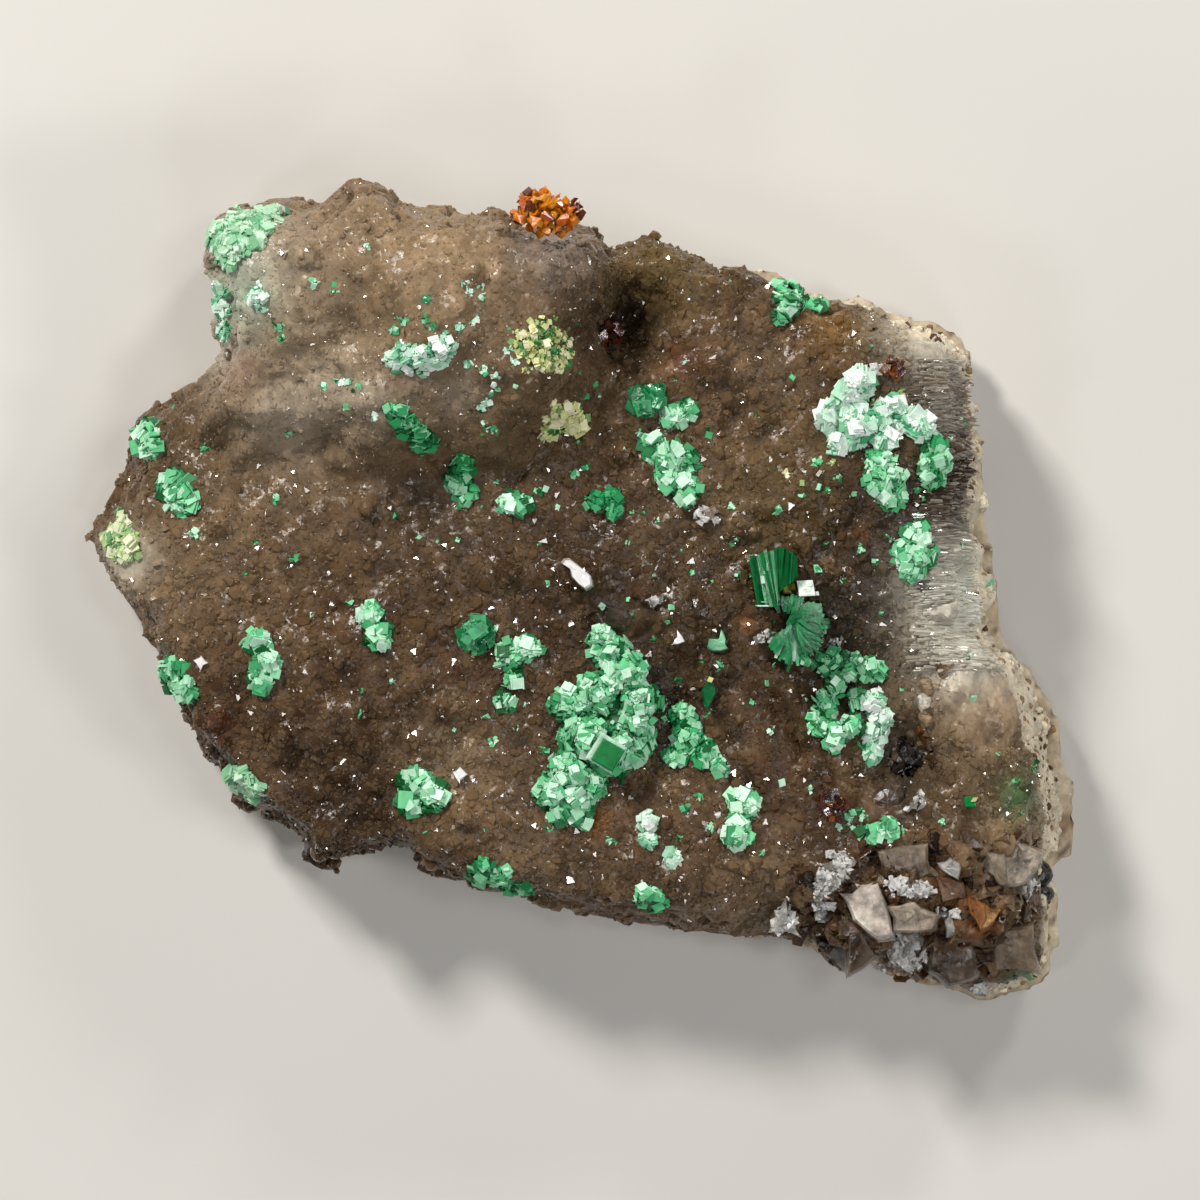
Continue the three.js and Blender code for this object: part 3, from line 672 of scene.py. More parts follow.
def quartz_tint(points):
    """The quartz's colour: smoky brown, mottled with milky and dark parts, and stained by place, with painted
    shade in the clefts between its lumps and painted shadows by place.
    """
    cloud = noise_at(points, *CLOUDS)[:, None]
    mottle = noise_at(points, *MOTTLES)[:, None]
    colour = linear(BROWN) * (1 + 0.3 * cloud)
    dark, milky = np.clip(-1.3 * mottle, 0, 0.6), np.clip(1.1 * mottle, 0, 0.5)
    colour = colour * (1 - dark - milky) + linear(DARK_BROWN) * dark + linear(MILKY) * milky
    gaps = np.clip(0.5 + noise_at(points, *VEIN_GAPS), 0, 1)
    vein = (0.6 * clefts_at(points, *VEINS) * gaps)[:, None]
    colour = colour * (1 - vein) + linear(MILKY) * vein
    # Painted shade: the colour darkens in the clefts between the small lumps and lightens on their tops
    colour = colour * (PAINTED_CLEFT_SHADE + (PAINTED_LUMP_LIGHT - PAINTED_CLEFT_SHADE) * lumps_at(points, *SMALL_LUMPS))[:, None]
    # Stains by place, and painted shadows in the crevices and hollows named above the table
    for x, y, radius, stain_and_shade, strength in TONES_AND_PAINTED_SHADOWS:
        near = np.exp(-((points[:, 0] - x) ** 2 + (points[:, 1] - y) ** 2) / radius**2)
        weight = (strength * near)[:, None]
        colour = colour * (1 - weight) + linear(stain_and_shade) * weight
    cream = 0.8 * rim_band(points)[:, None]
    colour = colour * (1 - cream) + linear(CREAM) * cream
    grain = 1 + TINT_SPREAD * rng.standard_normal((len(points), 1))
    return np.clip(colour * grain, 0.005, 0.9)


# The pale band up the walls: from and to which direction and how soft its ends are, in degrees
RIM_BAND = (-62, 86, 6)
RIM_BAND_HIGH = (-30, 60, 10)
# The oval that the band lies outside of, how high the band reaches, and how much more in its high part
RIM_OVAL = (17.5, 14.0)
RIM_INNER = 0.78
RIM_HEIGHT = 4.0
RIM_HEIGHT_MORE = 2.0


def between_directions(direction, start, end, soft):
    """1 between two directions, falling to 0 at both ends."""
    return np.clip((direction - start) / soft, 0, 1) * np.clip((end - direction) / soft, 0, 1)


def rim_band(points):
    """1 on the low outer part of the right and upper right walls, where the pale rind runs up them."""
    direction = np.degrees(np.arctan2(points[:, 1], points[:, 0]))
    around = between_directions(direction, *RIM_BAND)
    outer = np.clip(12 * (np.hypot(points[:, 0] / RIM_OVAL[0], points[:, 1] / RIM_OVAL[1]) - RIM_INNER), 0, 1)
    top = RIM_HEIGHT + RIM_HEIGHT_MORE * between_directions(direction, *RIM_BAND_HIGH)
    return around * outer * np.clip(1.2 * (top - points[:, 2]), 0, 1)


def relief(points, normals):
    """Lumps and fine roughness on the parts that face up, chipped roughness on the broken walls."""
    up = np.clip(normals[:, 2] * 1.6, 0, 1)
    large = LARGE_LUMP_HEIGHT * lumps_at(points, *LARGE_LUMPS)
    small = SMALL_LUMP_HEIGHT * lumps_at(points, *SMALL_LUMPS)
    tops = large + small + TOP_FACET_HEIGHT * facets_at(points, *TOP_FACETS)
    waves = WALL_WAVE_HEIGHT * noise_at(points, *WALL_WAVES)
    facets = WALL_FACET_HEIGHT * facets_at(points, *WALL_FACETS)
    walls = waves + facets + WALL_CHIP_HEIGHT * facets_at(points, *WALL_CHIPS)
    return up * (tops - TOP_SINK) + (1 - up) * walls


# Below this upward facing the crust is a broken wall, shaded flat instead of smooth
WALL_FACING = 0.45
# How high above its base the crust stays flat, so that it rests on the rind
FLAT_FOOT = 0.3


def make_body():
    """The druse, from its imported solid, with relief and tint."""
    verts, faces, normals = remeshed("smoky_quartz_crust", BODY_VOXEL, 4)
    low = verts[:, 2].min()
    on_base = (verts[:, 2] < low + FLAT_FOOT)[:, None]
    verts = verts + np.where(on_base, 0, normals * relief(verts, normals)[:, None])
    tint = quartz_tint(verts)
    body = new_object("quartz_crust_body", verts, faces, tint, smooth=True)
    smooth = [polygon.normal.z > WALL_FACING for polygon in body.data.polygons]
    body.data.polygons.foreach_set("use_smooth", smooth)
    piece(body, QUARTZ, "smoky_quartz", "smoky_quartz_crust")
    return body


add_stage()
BODY = make_body()
GROUND = BVHTree.FromObject(BODY, bpy.context.evaluated_depsgraph_get())
SKY = 60.0


def ground(x, y):
    """Height and facing of the quartz under a point, or None beside it."""
    hit, normal, _, _ = GROUND.ray_cast(Vector((x, y, SKY)) * MM, Vector((0, 0, -1)))
    if hit is None:
        return None
    return hit.z / MM, np.array(normal)


def surface_samples(obj, count, keep):
    """Random points on a mesh's triangles with their facings; keep picks triangles by middle and facing."""
    verts, faces, _ = arrays_of(obj.data)
    corners = verts[faces]
    cross = np.cross(corners[:, 1] - corners[:, 0], corners[:, 2] - corners[:, 0])
    area = np.linalg.norm(cross, axis=1)
    normal = cross / np.maximum(area, 1e-9)[:, None]
    weight = area * keep(corners.mean(axis=1), normal)
    chosen = rng.choice(len(faces), count, p=weight / weight.sum())
    a, b = rng.random((2, count, 1))
    fold = a + b > 1
    a, b = np.where(fold, 1 - a, a), np.where(fold, 1 - b, b)
    c = corners[chosen]
    return c[:, 0] + a * (c[:, 1] - c[:, 0]) + b * (c[:, 2] - c[:, 0]), normal[chosen]


# Smooth places of the quartz, without points: x, y and half-widths
SMOOTH = [
    (15.9, -4.7, 1.7, 1.7), (15.2, -1.0, 2.0, 1.7), (14.5, 4.0, 1.1, 3.2), (14.3, 10.0, 1.6, 1.2),
    (1.7, -0.9, 1.4, 1.0), (-18.0, 1.4, 1.2, 0.9), (12.0, -8.5, 0.9, 1.0), (16.3, -10.8, 2.3, 1.3),
    (15.8, -14.8, 2.4, 1.8),
]
MOUND_MIDDLE = (-8.0, 10.0)


def druse_share(middle, normal):
    """How densely points grow: thick where the druse faces up, none underneath or on smooth places."""
    share = np.clip((normal[:, 2] - 0.2) / 0.4, 0, 1) * (1 - 0.9 * rim_band(middle))
    for x, y, rx, ry in SMOOTH:
        away = np.hypot((middle[:, 0] - x) / rx, (middle[:, 1] - y) / ry)
        share = share * np.clip(3 * (away - 0.8), 0.02, 1)
    return share


def coarseness(points):
    """From 0 on the sugary mound to 1 in the middle and at the right, where the crystals are larger."""
    away = np.hypot(points[:, 0] - MOUND_MIDDLE[0], points[:, 1] - MOUND_MIDDLE[1])
    return np.clip((away - 6) / 4, 0, 1)


def tilted(normal, amount):
    """Facings, each turned a little at random."""
    return normal + amount * rng.standard_normal(normal.shape)


# Quartz points: name, template, count, least and most radius and height in radii, tilt, share of tan
DRUSE = [
    ("druse_sugar_1", SUGAR, SUGAR_POINTS, (0.06, 0.13), (0.6, 1.2), 0.35, 0.12),
    ("druse_sugar_2", SUGAR, SUGAR_POINTS, (0.06, 0.13), (0.6, 1.2), 0.35, 0.12),
    ("druse_points_fine", FINE_POINT, FINE_POINTS, (0.08, 0.22), (0.5, 1.0), 0.35, 0.12),
    ("druse_points_large", LARGE_POINT, LARGE_POINTS, (0.15, 0.3), (0.4, 0.8), 0.4, 0.06),
]


def add_points(name, template, count, radius, height, tilt, tan_share):
    """A joined mesh of quartz points that grow out of the druse."""
    at, normal = surface_samples(BODY, count, druse_share)
    size = between(radius, rng.random(count) ** 2) * (0.8 + 0.4 * coarseness(at))
    tall = size * between(height, rng.random(count))
    shape = np.stack([size, size * (0.8 + 0.3 * rng.random(count)), tall], axis=1)
    axes = tilted(normal, tilt)
    verts, faces = copies(template, at - 0.03 * normal, axes, FULL_TURN * rng.random(count), shape)
    tint = quartz_tint(at) * (1 - tan_share) + linear(TAN) * tan_share
    # Painted glints: a few small points are painted snow white
    glints = rng.random((count, 1)) < GLINT_SHARE * (size < GLINT_SIZE)[:, None]
    tint = np.where(glints, linear(SNOW), tint)
    return piece(new_object(name, verts, faces, spread(tint, template)), POINT, "smoky_quartz")


def make_druse():
    """The quartz points of the table."""
    for row in DRUSE:
        add_points(*row)


# The upper right wall: its left edge, its low and high end, and the way it faces
RIGHT_WALL = (13.1, -3.2, 9.2)
SLOPE_OF_WALL = np.array([0.45, 0.0, 0.89])


def wall_share(middle, normal):
    """The upper part of the broken right wall, where thin crystals lie side by side."""
    left, low, high = RIGHT_WALL
    inside = (middle[:, 0] > left) & (middle[:, 1] > low) & (middle[:, 1] < high) & (normal[:, 2] > 0.1)
    return inside * (1 - rim_band(middle)) * np.clip((middle[:, 0] - left) / 1.2, 0.15, 1)


def make_comb():
    """Thin prisms side by side down the right wall, dark and pale in turn."""
    at, normal = surface_samples(BODY, COMB_PRISMS, wall_share)
    facing = 0.4 * normal + 0.6 * SLOPE_OF_WALL
    facing /= np.linalg.norm(facing, axis=1, keepdims=True)
    outward = np.array([1.0, 0.0, 0.0]) - facing * facing[:, :1]
    count = len(at)
    radius = 0.03 + 0.06 * rng.random(count) ** 2
    long = 0.5 + 0.9 * rng.random(count)
    shape = np.stack([radius, radius, long], axis=1)
    verts, faces = copies(PRISM, at, tilted(outward, 0.06), FULL_TURN * rng.random(count), shape)
    light = np.where(rng.random((count, 1)) < 0.35, 0.6 * rng.random((count, 1)), 0)
    tint = quartz_tint(at) * (1 - light) + linear(PALE_QUARTZ) * light
    piece(new_object("comb_quartz_prisms", verts, faces, spread(tint, PRISM)), POINT, "smoky_quartz")


# Noise above which the rind is speckled, and how strongly
SPECK_FROM = 0.35
SPECK_STRENGTH = 0.75


def make_rind():
    """The beige rock under the quartz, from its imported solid, rough and speckled."""
    verts, faces, normals = remeshed("host_rock_rind", RIND_VOXEL, 2)
    inside = (verts[:, 2] > 0.15) & (np.abs(normals[:, 2]) < 0.95)
    rough = 0.16 * noise_at(verts, *RIND_WAVES) + 0.08 * noise_at(verts, *RIND_GRIT) - 0.05
    verts = verts + np.where(inside[:, None], normals * rough[:, None], 0)
    cloud = 0.5 + 0.5 * noise_at(verts, *RIND_CLOUDS)[:, None]
    specks = (noise_at(verts, *RIND_SPECKS)[:, None] > SPECK_FROM) * SPECK_STRENGTH
    tint = linear(CREAM) * cloud + linear(RIND_BROWN) * (1 - cloud)
    tint = tint * (1 - specks) + linear(SPECK) * specks
    rind = new_object("rind_rock", verts, faces, tint, smooth=True)
    piece(rind, RIND, "host_rock", "host_rock_rind")
    scatter_rind_grains(rind)


def scatter_rind_grains(rind):
    """Cream and brown grains over the rind and over the foot of the wall that it runs up."""
    def on_rind(middle, facing):
        return (middle[:, 2] > 0.5) * (facing[:, 2] > -0.5)

    def on_wall_foot(middle, facing):
        return rim_band(middle) * (facing[:, 2] > -0.3)

    half = RIND_GRAINS // 2
    low_at, low_normal = surface_samples(rind, half, on_rind)
    high_at, high_normal = surface_samples(BODY, half, on_wall_foot)
    at, normal = np.concatenate([low_at, high_at]), np.concatenate([low_normal, high_normal])
    size = 0.07 + 0.16 * rng.random((len(at), 1)) ** 2 * np.ones((1, 3))
    axes = tilted(normal, 0.6)
    verts, faces = copies(GRAIN, at - 0.04 * normal, axes, FULL_TURN * rng.random(len(at)), size)
    pick = rng.random((len(at), 1))
    tint = np.where(pick < 0.12, linear(SPECK), np.where(pick < 0.35, linear(RIND_BROWN), linear(CREAM)))
    tint = tint * (1 + 0.12 * rng.standard_normal((len(at), 1)))
    piece(new_object("rind_grains", verts, faces, spread(np.clip(tint, 0, 1), GRAIN)), RIND, "host_rock")


# Torbernite

def shaded(palette, share):
    """Colours along a palette of three, from deep at 0 to light at 1."""
    stops = np.array([linear(colour) for colour in palette])
    return np.stack([np.interp(share, (0, 0.5, 1), stops[:, k]) for k in range(3)], axis=1)


# How far down a wall a crust hangs over, and the upward facing below which no plate sits
CRUST_DROP = 1.3
STEEPEST = 0.2
# How far plates sink into the rock, and the size of the lumps that they are heaped in
PLATE_SINK = 0.03
HEAP_SIZE = 0.42


def crust(blobs, size, palette, density=1.0, leaves=3):
    """Square plates lying in ragged steps over blobs of (x, y, radius, height), in books of a few leaves."""
    rows = []
    for x, y, radius, height in blobs:
        middle = ground(x, y)
        foot = middle[0] if middle else 0
        bulge = 1 + 0.6 * height / radius
        count = int(density * PLATES_PER_MM2 * math.pi * radius**2 * bulge) + 4
        for _ in range(count):
            angle, reach = FULL_TURN * rng.random(), math.sqrt(rng.random()) + 0.14 * rng.standard_normal()
            out = np.array([math.cos(angle), math.sin(angle), 0])
            px, py = x + radius * reach * out[0], y + radius * reach * out[1]
            spot = ground(px, py)
            if spot is None or spot[0] < foot - CRUST_DROP or spot[1][2] < STEEPEST:
                continue
            lump = np.clip(0.5 + 0.9 * noise.noise(Vector((px, py, 3.1)) / HEAP_SIZE), 0, 1)
            level = rng.random() ** 0.5
            dome = height * (1 - 0.7 * min(abs(reach), 1.1) ** 3) * (0.35 + 0.65 * lump) * level
            loose = 0.2 if rng.random() < 0.7 else 0.8
            axis = spot[1] + out * reach * height / radius * 0.5 + loose * rng.standard_normal(3)
            axis /= np.linalg.norm(axis)
            wide = between(size, rng.random() ** 2)
            thick = 0.04 + 0.16 * wide * rng.random()
            spin = FULL_TURN * rng.random()
            # Plates higher in the heap and on its lumps take the lighter end of the palette: painted
            # highlight on the tops,
            # painted shade lower down; the random part is the crust's own spread of colour.
            share = -0.5 + 0.9 * level + 0.7 * lump + 0.25 * rng.standard_normal()
            for leaf in range(rng.integers(1, leaves + 1)):
                at = np.array([px, py, spot[0] + dome - PLATE_SINK]) + axis * thick * 1.1 * leaf
                at = at + 0.12 * wide * rng.standard_normal(3)
                rows.append((*at, *axis, spin + 0.1 * rng.standard_normal(), wide, thick, share))
    rows = np.array(rows)
    shape = rows[:, [7, 7, 8]] * (1 + 0.14 * rng.standard_normal((len(rows), 3)))
    verts, faces = copies(PLATE, rows[:, :3], rows[:, 3:6], rows[:, 6], shape)
    # Each plate's four lower corners take a colour half a palette darker than its upper four: painted shade
    # below.
    tint = np.stack([shaded(palette, rows[:, 9] - 0.5), shaded(palette, rows[:, 9])], axis=1)
    return verts, faces, np.repeat(tint.reshape(-1, 3), 4, axis=0)


PALE = ((0, 84, 34), (96, 204, 140), WHITE_MINT)
WHITISH = ((72, 176, 124), (206, 246, 222), (250, 255, 252))
GREEN = (DEEP_GREEN, MID_GREEN, MINT)
BRIGHT = ((0, 92, 40), (52, 176, 108), (180, 236, 200))
CLOUDY = ((110, 178, 132), (168, 222, 180), (214, 240, 218))
PALE_YELLOW = ((110, 164, 104), (192, 212, 150), (234, 240, 208))
YELLOWED = ((60, 140, 76), YELLOW_MINT, (244, 242, 208))

# Growths: node, palette, plate size and blobs of x, y, radius, height
GROWTHS = {
    "main_rosette": (PALE, (0.13, 0.45), [
        (0.65, -1.9, 0.4, 0.8), (1.1, -2.6, 0.6, 1.3), (1.65, -3.3, 0.75, 1.8), (2.15, -4.4, 0.65, 2.0),
        (2.2, -5.5, 0.5, 1.6), (0.65, -4.0, 0.8, 1.7), (-0.35, -4.6, 0.7, 1.3), (-1.0, -4.5, 0.4, 0.8),
        (0.05, -5.8, 0.85, 1.7), (1.05, -6.5, 0.8, 1.7), (1.9, -6.2, 0.65, 1.5), (-0.55, -7.1, 0.7, 1.4),
        (-1.3, -8.0, 0.55, 1.1), (-0.35, -8.4, 0.7, 1.3), (0.3, -7.6, 0.5, 1.1), (-0.9, -8.9, 0.35, 0.8),
        (-0.15, -9.05, 0.35, 0.8), (1.5, -5.3, 0.6, 1.1)]),
    "rosette_side_lobe": (BRIGHT, (0.14, 0.4), [
        (3.9, -5.0, 0.4, 0.7), (4.1, -5.8, 0.55, 0.8), (4.8, -6.4, 0.45, 0.6), (3.6, -6.6, 0.35, 0.5),
        (5.3, -6.9, 0.3, 0.4)]),
    "hollow_crust": (PALE, (0.14, 0.4), [
        (9.8, -2.9, 0.45, 0.8), (10.6, -3.0, 0.5, 0.9), (11.4, -3.2, 0.45, 0.8), (10.0, -3.8, 0.4, 0.7),
        (9.6, -4.5, 0.45, 0.7), (9.4, -5.2, 0.45, 0.7), (9.9, -5.8, 0.45, 0.7), (10.6, -5.4, 0.35, 0.6),
        (10.9, -4.3, 0.3, 0.5)]),
    "hollow_pale_column": (WHITISH, (0.14, 0.4), [
        (11.5, -4.5, 0.45, 0.8), (11.8, -5.1, 0.4, 0.8), (11.6, -5.8, 0.4, 0.7), (11.5, -6.5, 0.35, 0.6)]),
    "upper_right_crust": (WHITISH, (0.16, 0.55), [
        (10.9, 8.1, 0.5, 0.8), (10.4, 7.4, 0.6, 1.0), (9.8, 6.9, 0.5, 0.9), (10.6, 6.5, 0.6, 1.0),
        (10.2, 5.9, 0.45, 0.8), (11.5, 6.6, 0.4, 0.8), (12.2, 7.0, 0.55, 0.9), (12.7, 6.7, 0.4, 0.8),
        (13.3, 6.4, 0.4, 0.7), (11.9, 6.0, 0.35, 0.6)]),
    "ragged_crust": (PALE, (0.2, 0.42), [
        (11.7, 5.0, 0.45, 0.6), (11.6, 4.3, 0.5, 0.7), (12.2, 4.3, 0.45, 0.6), (12.2, 3.7, 0.45, 0.6)]),
    "pendant_bud": (BRIGHT, (0.2, 0.5), [
        (13.8, 5.7, 0.4, 0.7), (13.9, 5.0, 0.5, 0.9), (13.8, 4.5, 0.35, 0.7)]),
    "right_wall_rosette": (PALE, (0.2, 0.45), [
        (13.2, 2.1, 0.45, 0.6), (12.8, 1.5, 0.5, 0.7), (13.3, 1.3, 0.45, 0.7), (13.0, 0.8, 0.4, 0.6)]),
    "centre_crust": (PALE, (0.2, 0.45), [
        (2.8, 5.6, 0.5, 0.6), (3.4, 5.3, 0.45, 0.6), (4.0, 5.1, 0.45, 0.6), (3.4, 4.5, 0.45, 0.6),
        (4.0, 4.2, 0.45, 0.6), (4.1, 3.7, 0.3, 0.5)]),
    "centre_crust_top": (PALE, (0.2, 0.42), [(3.6, 6.9, 0.4, 0.5), (4.1, 7.1, 0.35, 0.5)]),
    "small_book": (GREEN, (0.3, 0.6), [(2.3, 7.4, 0.4, 0.5), (2.8, 7.6, 0.3, 0.4)]),
    "top_edge_crust": (PALE, (0.2, 0.5), [
        (8.2, 12.0, 0.5, 0.6), (8.0, 11.4, 0.4, 0.6), (8.8, 11.7, 0.45, 0.6), (9.3, 11.4, 0.35, 0.5),
        (7.8, 10.8, 0.2, 0.3)]),
    "corner_patch": (CLOUDY, (0.15, 0.4), [
        (-14.3, 14.2, 0.8, 0.5), (-13.4, 14.8, 0.8, 0.5), (-12.5, 15.0, 0.7, 0.5), (-13.7, 13.6, 0.7, 0.5),
        (-12.9, 14.1, 0.6, 0.5), (-14.0, 12.9, 0.4, 0.4)]),
    "bluff_crust": (WHITISH, (0.12, 0.3), [
        (-14.6, 11.8, 0.4, 0.4), (-14.4, 11.0, 0.4, 0.4), (-14.3, 10.3, 0.4, 0.4), (-12.8, 11.4, 0.35, 0.4)]),
    "mound_crust": (WHITISH, (0.12, 0.32), [
        (-7.0, 9.2, 0.4, 0.4), (-6.4, 9.0, 0.5, 0.5), (-5.7, 9.2, 0.45, 0.5), (-5.3, 9.5, 0.3, 0.4),
        (-7.5, 9.0, 0.25, 0.3)]),
    "yellow_crust": (YELLOWED, (0.1, 0.24), [
        (-2.2, 9.6, 0.45, 0.4), (-1.6, 10.0, 0.5, 0.5), (-1.0, 9.6, 0.45, 0.5), (-1.6, 9.2, 0.5, 0.5),
        (-0.9, 9.0, 0.4, 0.4), (-1.5, 8.8, 0.3, 0.4)]),
    "gold_rimmed_crust": (YELLOWED, (0.15, 0.4), [
        (-0.9, 6.8, 0.4, 0.4), (-0.3, 6.6, 0.4, 0.4), (-1.4, 6.2, 0.3, 0.3), (-0.5, 7.0, 0.3, 0.4)]),
    "overhang_buds": (BRIGHT, (0.15, 0.4), [
        (-6.9, 6.4, 0.4, 0.5), (-6.3, 5.9, 0.45, 0.6), (-7.3, 6.9, 0.3, 0.4)]),
    "vug_crust": (BRIGHT, (0.15, 0.4), [
        (-4.8, 4.9, 0.4, 0.6), (-5.0, 4.3, 0.4, 0.6), (-4.7, 3.8, 0.35, 0.5)]),
    "flat_crust": (PALE, (0.2, 0.42), [(-3.0, 3.4, 0.35, 0.4), (-2.5, 3.4, 0.35, 0.4)]),
    "dark_group": (GREEN, (0.2, 0.42), [(0.6, 3.5, 0.3, 0.4), (1.1, 3.6, 0.3, 0.5), (1.2, 3.1, 0.2, 0.4)]),
    "left_patch": (PALE, (0.3, 0.6), [(-16.3, 4.2, 0.5, 0.4), (-15.9, 3.6, 0.5, 0.4)]),
    "left_rim_patch": (PALE, (0.3, 0.6), [(-17.6, 6.3, 0.45, 0.4), (-17.4, 5.8, 0.4, 0.4)]),
    "tip_patch": (PALE_YELLOW, (0.15, 0.4), [
        (-18.9, 2.2, 0.5, 0.3), (-18.3, 1.7, 0.6, 0.4), (-18.6, 2.7, 0.4, 0.3)]),
    "left_edge_bud": (BRIGHT, (0.25, 0.5), [(-16.4, -3.3, 0.5, 0.5), (-16.0, -3.9, 0.5, 0.5)]),
    "left_arc": (PALE, (0.25, 0.5), [
        (-12.9, -2.1, 0.4, 0.4), (-12.5, -2.8, 0.4, 0.4), (-12.8, -3.5, 0.4, 0.4)]),
    "lower_left_rim": (CLOUDY, (0.2, 0.45), [(-13.7, -7.5, 0.45, 0.4), (-13.2, -8.0, 0.4, 0.4)]),
    "round_bud": (GREEN, (0.25, 0.55), [(-4.2, -1.8, 0.55, 0.7)]),
    "west_pair": (PALE, (0.25, 0.5), [(-8.1, -1.8, 0.45, 0.5), (-8.4, -0.9, 0.35, 0.4)]),
    "forked_crust": (PALE, (0.2, 0.45), [
        (-2.9, -2.6, 0.45, 0.5), (-2.2, -2.3, 0.4, 0.5), (-2.8, -3.5, 0.3, 0.4), (-3.1, -4.4, 0.3, 0.3)]),
    "lower_patch": (PALE, (0.25, 0.55), [
        (-6.6, -7.6, 0.45, 0.4), (-6.0, -8.2, 0.5, 0.5), (-6.9, -8.4, 0.35, 0.4)]),
    "front_edge_crust": (BRIGHT, (0.2, 0.45), [
        (-4.0, -11.1, 0.45, 0.5), (-3.3, -11.6, 0.5, 0.5), (-2.5, -12.0, 0.4, 0.5)]),
    "front_crust": (PALE, (0.2, 0.45), [(2.4, -12.1, 0.35, 0.4), (2.9, -12.3, 0.35, 0.4)]),
    "hourglass": (PALE, (0.3, 0.6), [(6.4, -8.4, 0.4, 0.6), (6.2, -9.0, 0.35, 0.6), (6.1, -9.7, 0.4, 0.6)]),
    "blade_group": (WHITISH, (0.2, 0.4), [
        (2.5, -9.2, 0.3, 0.5), (2.6, -9.9, 0.25, 0.4), (3.5, -10.6, 0.25, 0.4)]),
    "ledge_crust": (PALE, (0.2, 0.4), [(11.4, -9.7, 0.35, 0.3), (12.1, -9.5, 0.35, 0.3)]),
}
DEEP_GROWTHS = {"round_bud", "small_book"}
SLOTS = {
    GREEN: "torbernite_deep", BRIGHT: "torbernite_deep",
    PALE_YELLOW: "torbernite_yellowed", YELLOWED: "torbernite_yellowed",
}


def make_growths():
    """Every growth of the table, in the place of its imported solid."""
    for name, (palette, size, blobs) in GROWTHS.items():
        verts, faces, tint = crust(blobs, size, palette)
        material = EMERALD_GLASS if name in DEEP_GROWTHS else TORBERNITE
        obj = new_object("plates_" + name, verts, faces, tint)
        piece(obj, material, SLOTS.get(palette, "torbernite_pale"), "torbernite_" + name)


# Places of the smallest plates, alone or a few together: x, y
FLECKS = [
    (1.3, 4.0), (5.8, 3.3), (5.0, 6.3), (6.8, 6.9), (10.0, 4.4), (8.6, 3.7), (5.5, -2.0), (5.0, -4.0),
    (4.0, -8.7), (-1.7, 3.9), (-0.4, 4.6), (0.1, 4.9), (-3.4, 7.8), (-9.6, 8.2), (2.2, 6.2), (7.6, 3.1),
    (9.2, 5.0), (9.6, 3.9), (11.0, 5.8), (13.2, 4.0), (13.3, 2.9), (13.4, 3.6), (12.1, 2.0), (10.9, 1.6),
    (11.6, 1.1), (11.8, -0.9), (6.1, 0.6), (5.4, -3.0), (5.0, -5.0), (3.3, -5.1), (7.4, -5.6), (9.0, -7.9),
    (10.2, -9.4), (4.6, -8.2), (5.0, -9.4), (3.8, -9.8), (1.1, -9.9), (-1.4, -9.4), (-3.6, -6.0),
    (-1.6, -6.4), (-7.6, -3.6), (-10.8, -1.0), (-9.3, -0.5), (-8.9, -4.8), (-11.4, 1.2), (-13.0, 1.9),
    (-15.0, 5.6), (15.3, 11.0), (14.9, 8.4), (15.2, 6.6), (14.6, 6.0), (15.0, 1.9), (15.6, 1.2),
    (15.3, -2.6), (17.1, -1.6), (15.3, -8.4), (17.2, -7.6), (17.4, -9.0), (11.1, -9.1), (11.0, -8.8),
    (10.6, -8.8), (10.5, -9.1), (10.6, -9.4), (11.0, -9.4), (18.0, -7.0), (18.2, -15.6), (14.2, -9.2),
    (7.0, -10.4), (-11.9, 10.3), (-11.8, 9.8), (-6.1, 11.3), (-7.0, 10.5), (-6.2, 10.6), (-5.9, 10.2),
    (-7.4, 10.1), (-7.3, 8.6), (-10.5, 12.0), (-9.7, 11.7), (-4.0, 7.1), (-3.8, 6.5), (-3.6, 6.2),
    (-8.9, 7.9), (-9.3, 7.1), (-10.2, 8.0), (-11.6, 6.2), (-16.4, 7.4), (-15.4, 2.2), (-12.2, 3.6),
]
# Whitish plates and grains, a few together: x, y
PALE_FLECKS = [
    (-4.6, 12.0), (-4.4, 11.6), (-4.0, 11.8), (-3.9, 11.4), (-4.2, 10.5), (-4.8, 10.2), (-3.4, 8.3),
    (-3.5, 8.0), (-3.6, 7.7), (-3.8, 7.4), (-3.9, 8.6), (-9.5, 8.1), (-9.3, 8.1), (-8.2, 6.7),
    (-12.7, 11.9), (-12.7, 11.4), (-12.6, 11.0), (-8.4, 13.4), (-2.7, 8.9), (-3.0, 9.4), (-5.4, 9.9),
    (-4.5, 8.8), (16.4, 0.2), (14.8, -0.3),
]
GOLDEN_FLECKS = [
    (-2.6, 10.0), (-2.4, 9.2), (-2.0, 10.4), (-1.2, 10.6), (-0.6, 10.2), (-2.8, 9.6), (-2.2, 8.6),
    (-0.5, 9.4), (-1.5, 6.7), (-1.2, 7.3), (8.0, 4.6), (8.6, 4.2), (9.4, 4.6), (9.8, 5.0), (11.5, 7.4),
    (12.6, 7.8),
]
SCATTERED = 110


def make_flecks():
    """Loose plates over the druse, most of them in the middle and at the right."""
    scattered = []
    while len(scattered) < SCATTERED:
        x, y = 3.0 + 6.5 * rng.standard_normal(), 0.5 + 5.5 * rng.standard_normal()
        if ground(x, y) is not None:
            scattered.append((x, y))
    groups = (
        (FLECKS, PALE, 0.16),
        (PALE_FLECKS, WHITISH, 0.16),
        (GOLDEN_FLECKS, YELLOWED, 0.12),
        (scattered, PALE, 0.04),
    )
    parts = []
    for places, palette, radius in groups:
        blobs = [(x, y, radius * (0.7 + 0.6 * rng.random()), 0.5 * radius + 0.04) for x, y in places]
        parts.append(crust(blobs, (0.08, 0.26), palette, 0.6, 1))
    verts, faces, tint = join_arrays(parts)
    piece(new_object("torbernite_flecks", verts, faces, tint), TORBERNITE, "torbernite_pale")


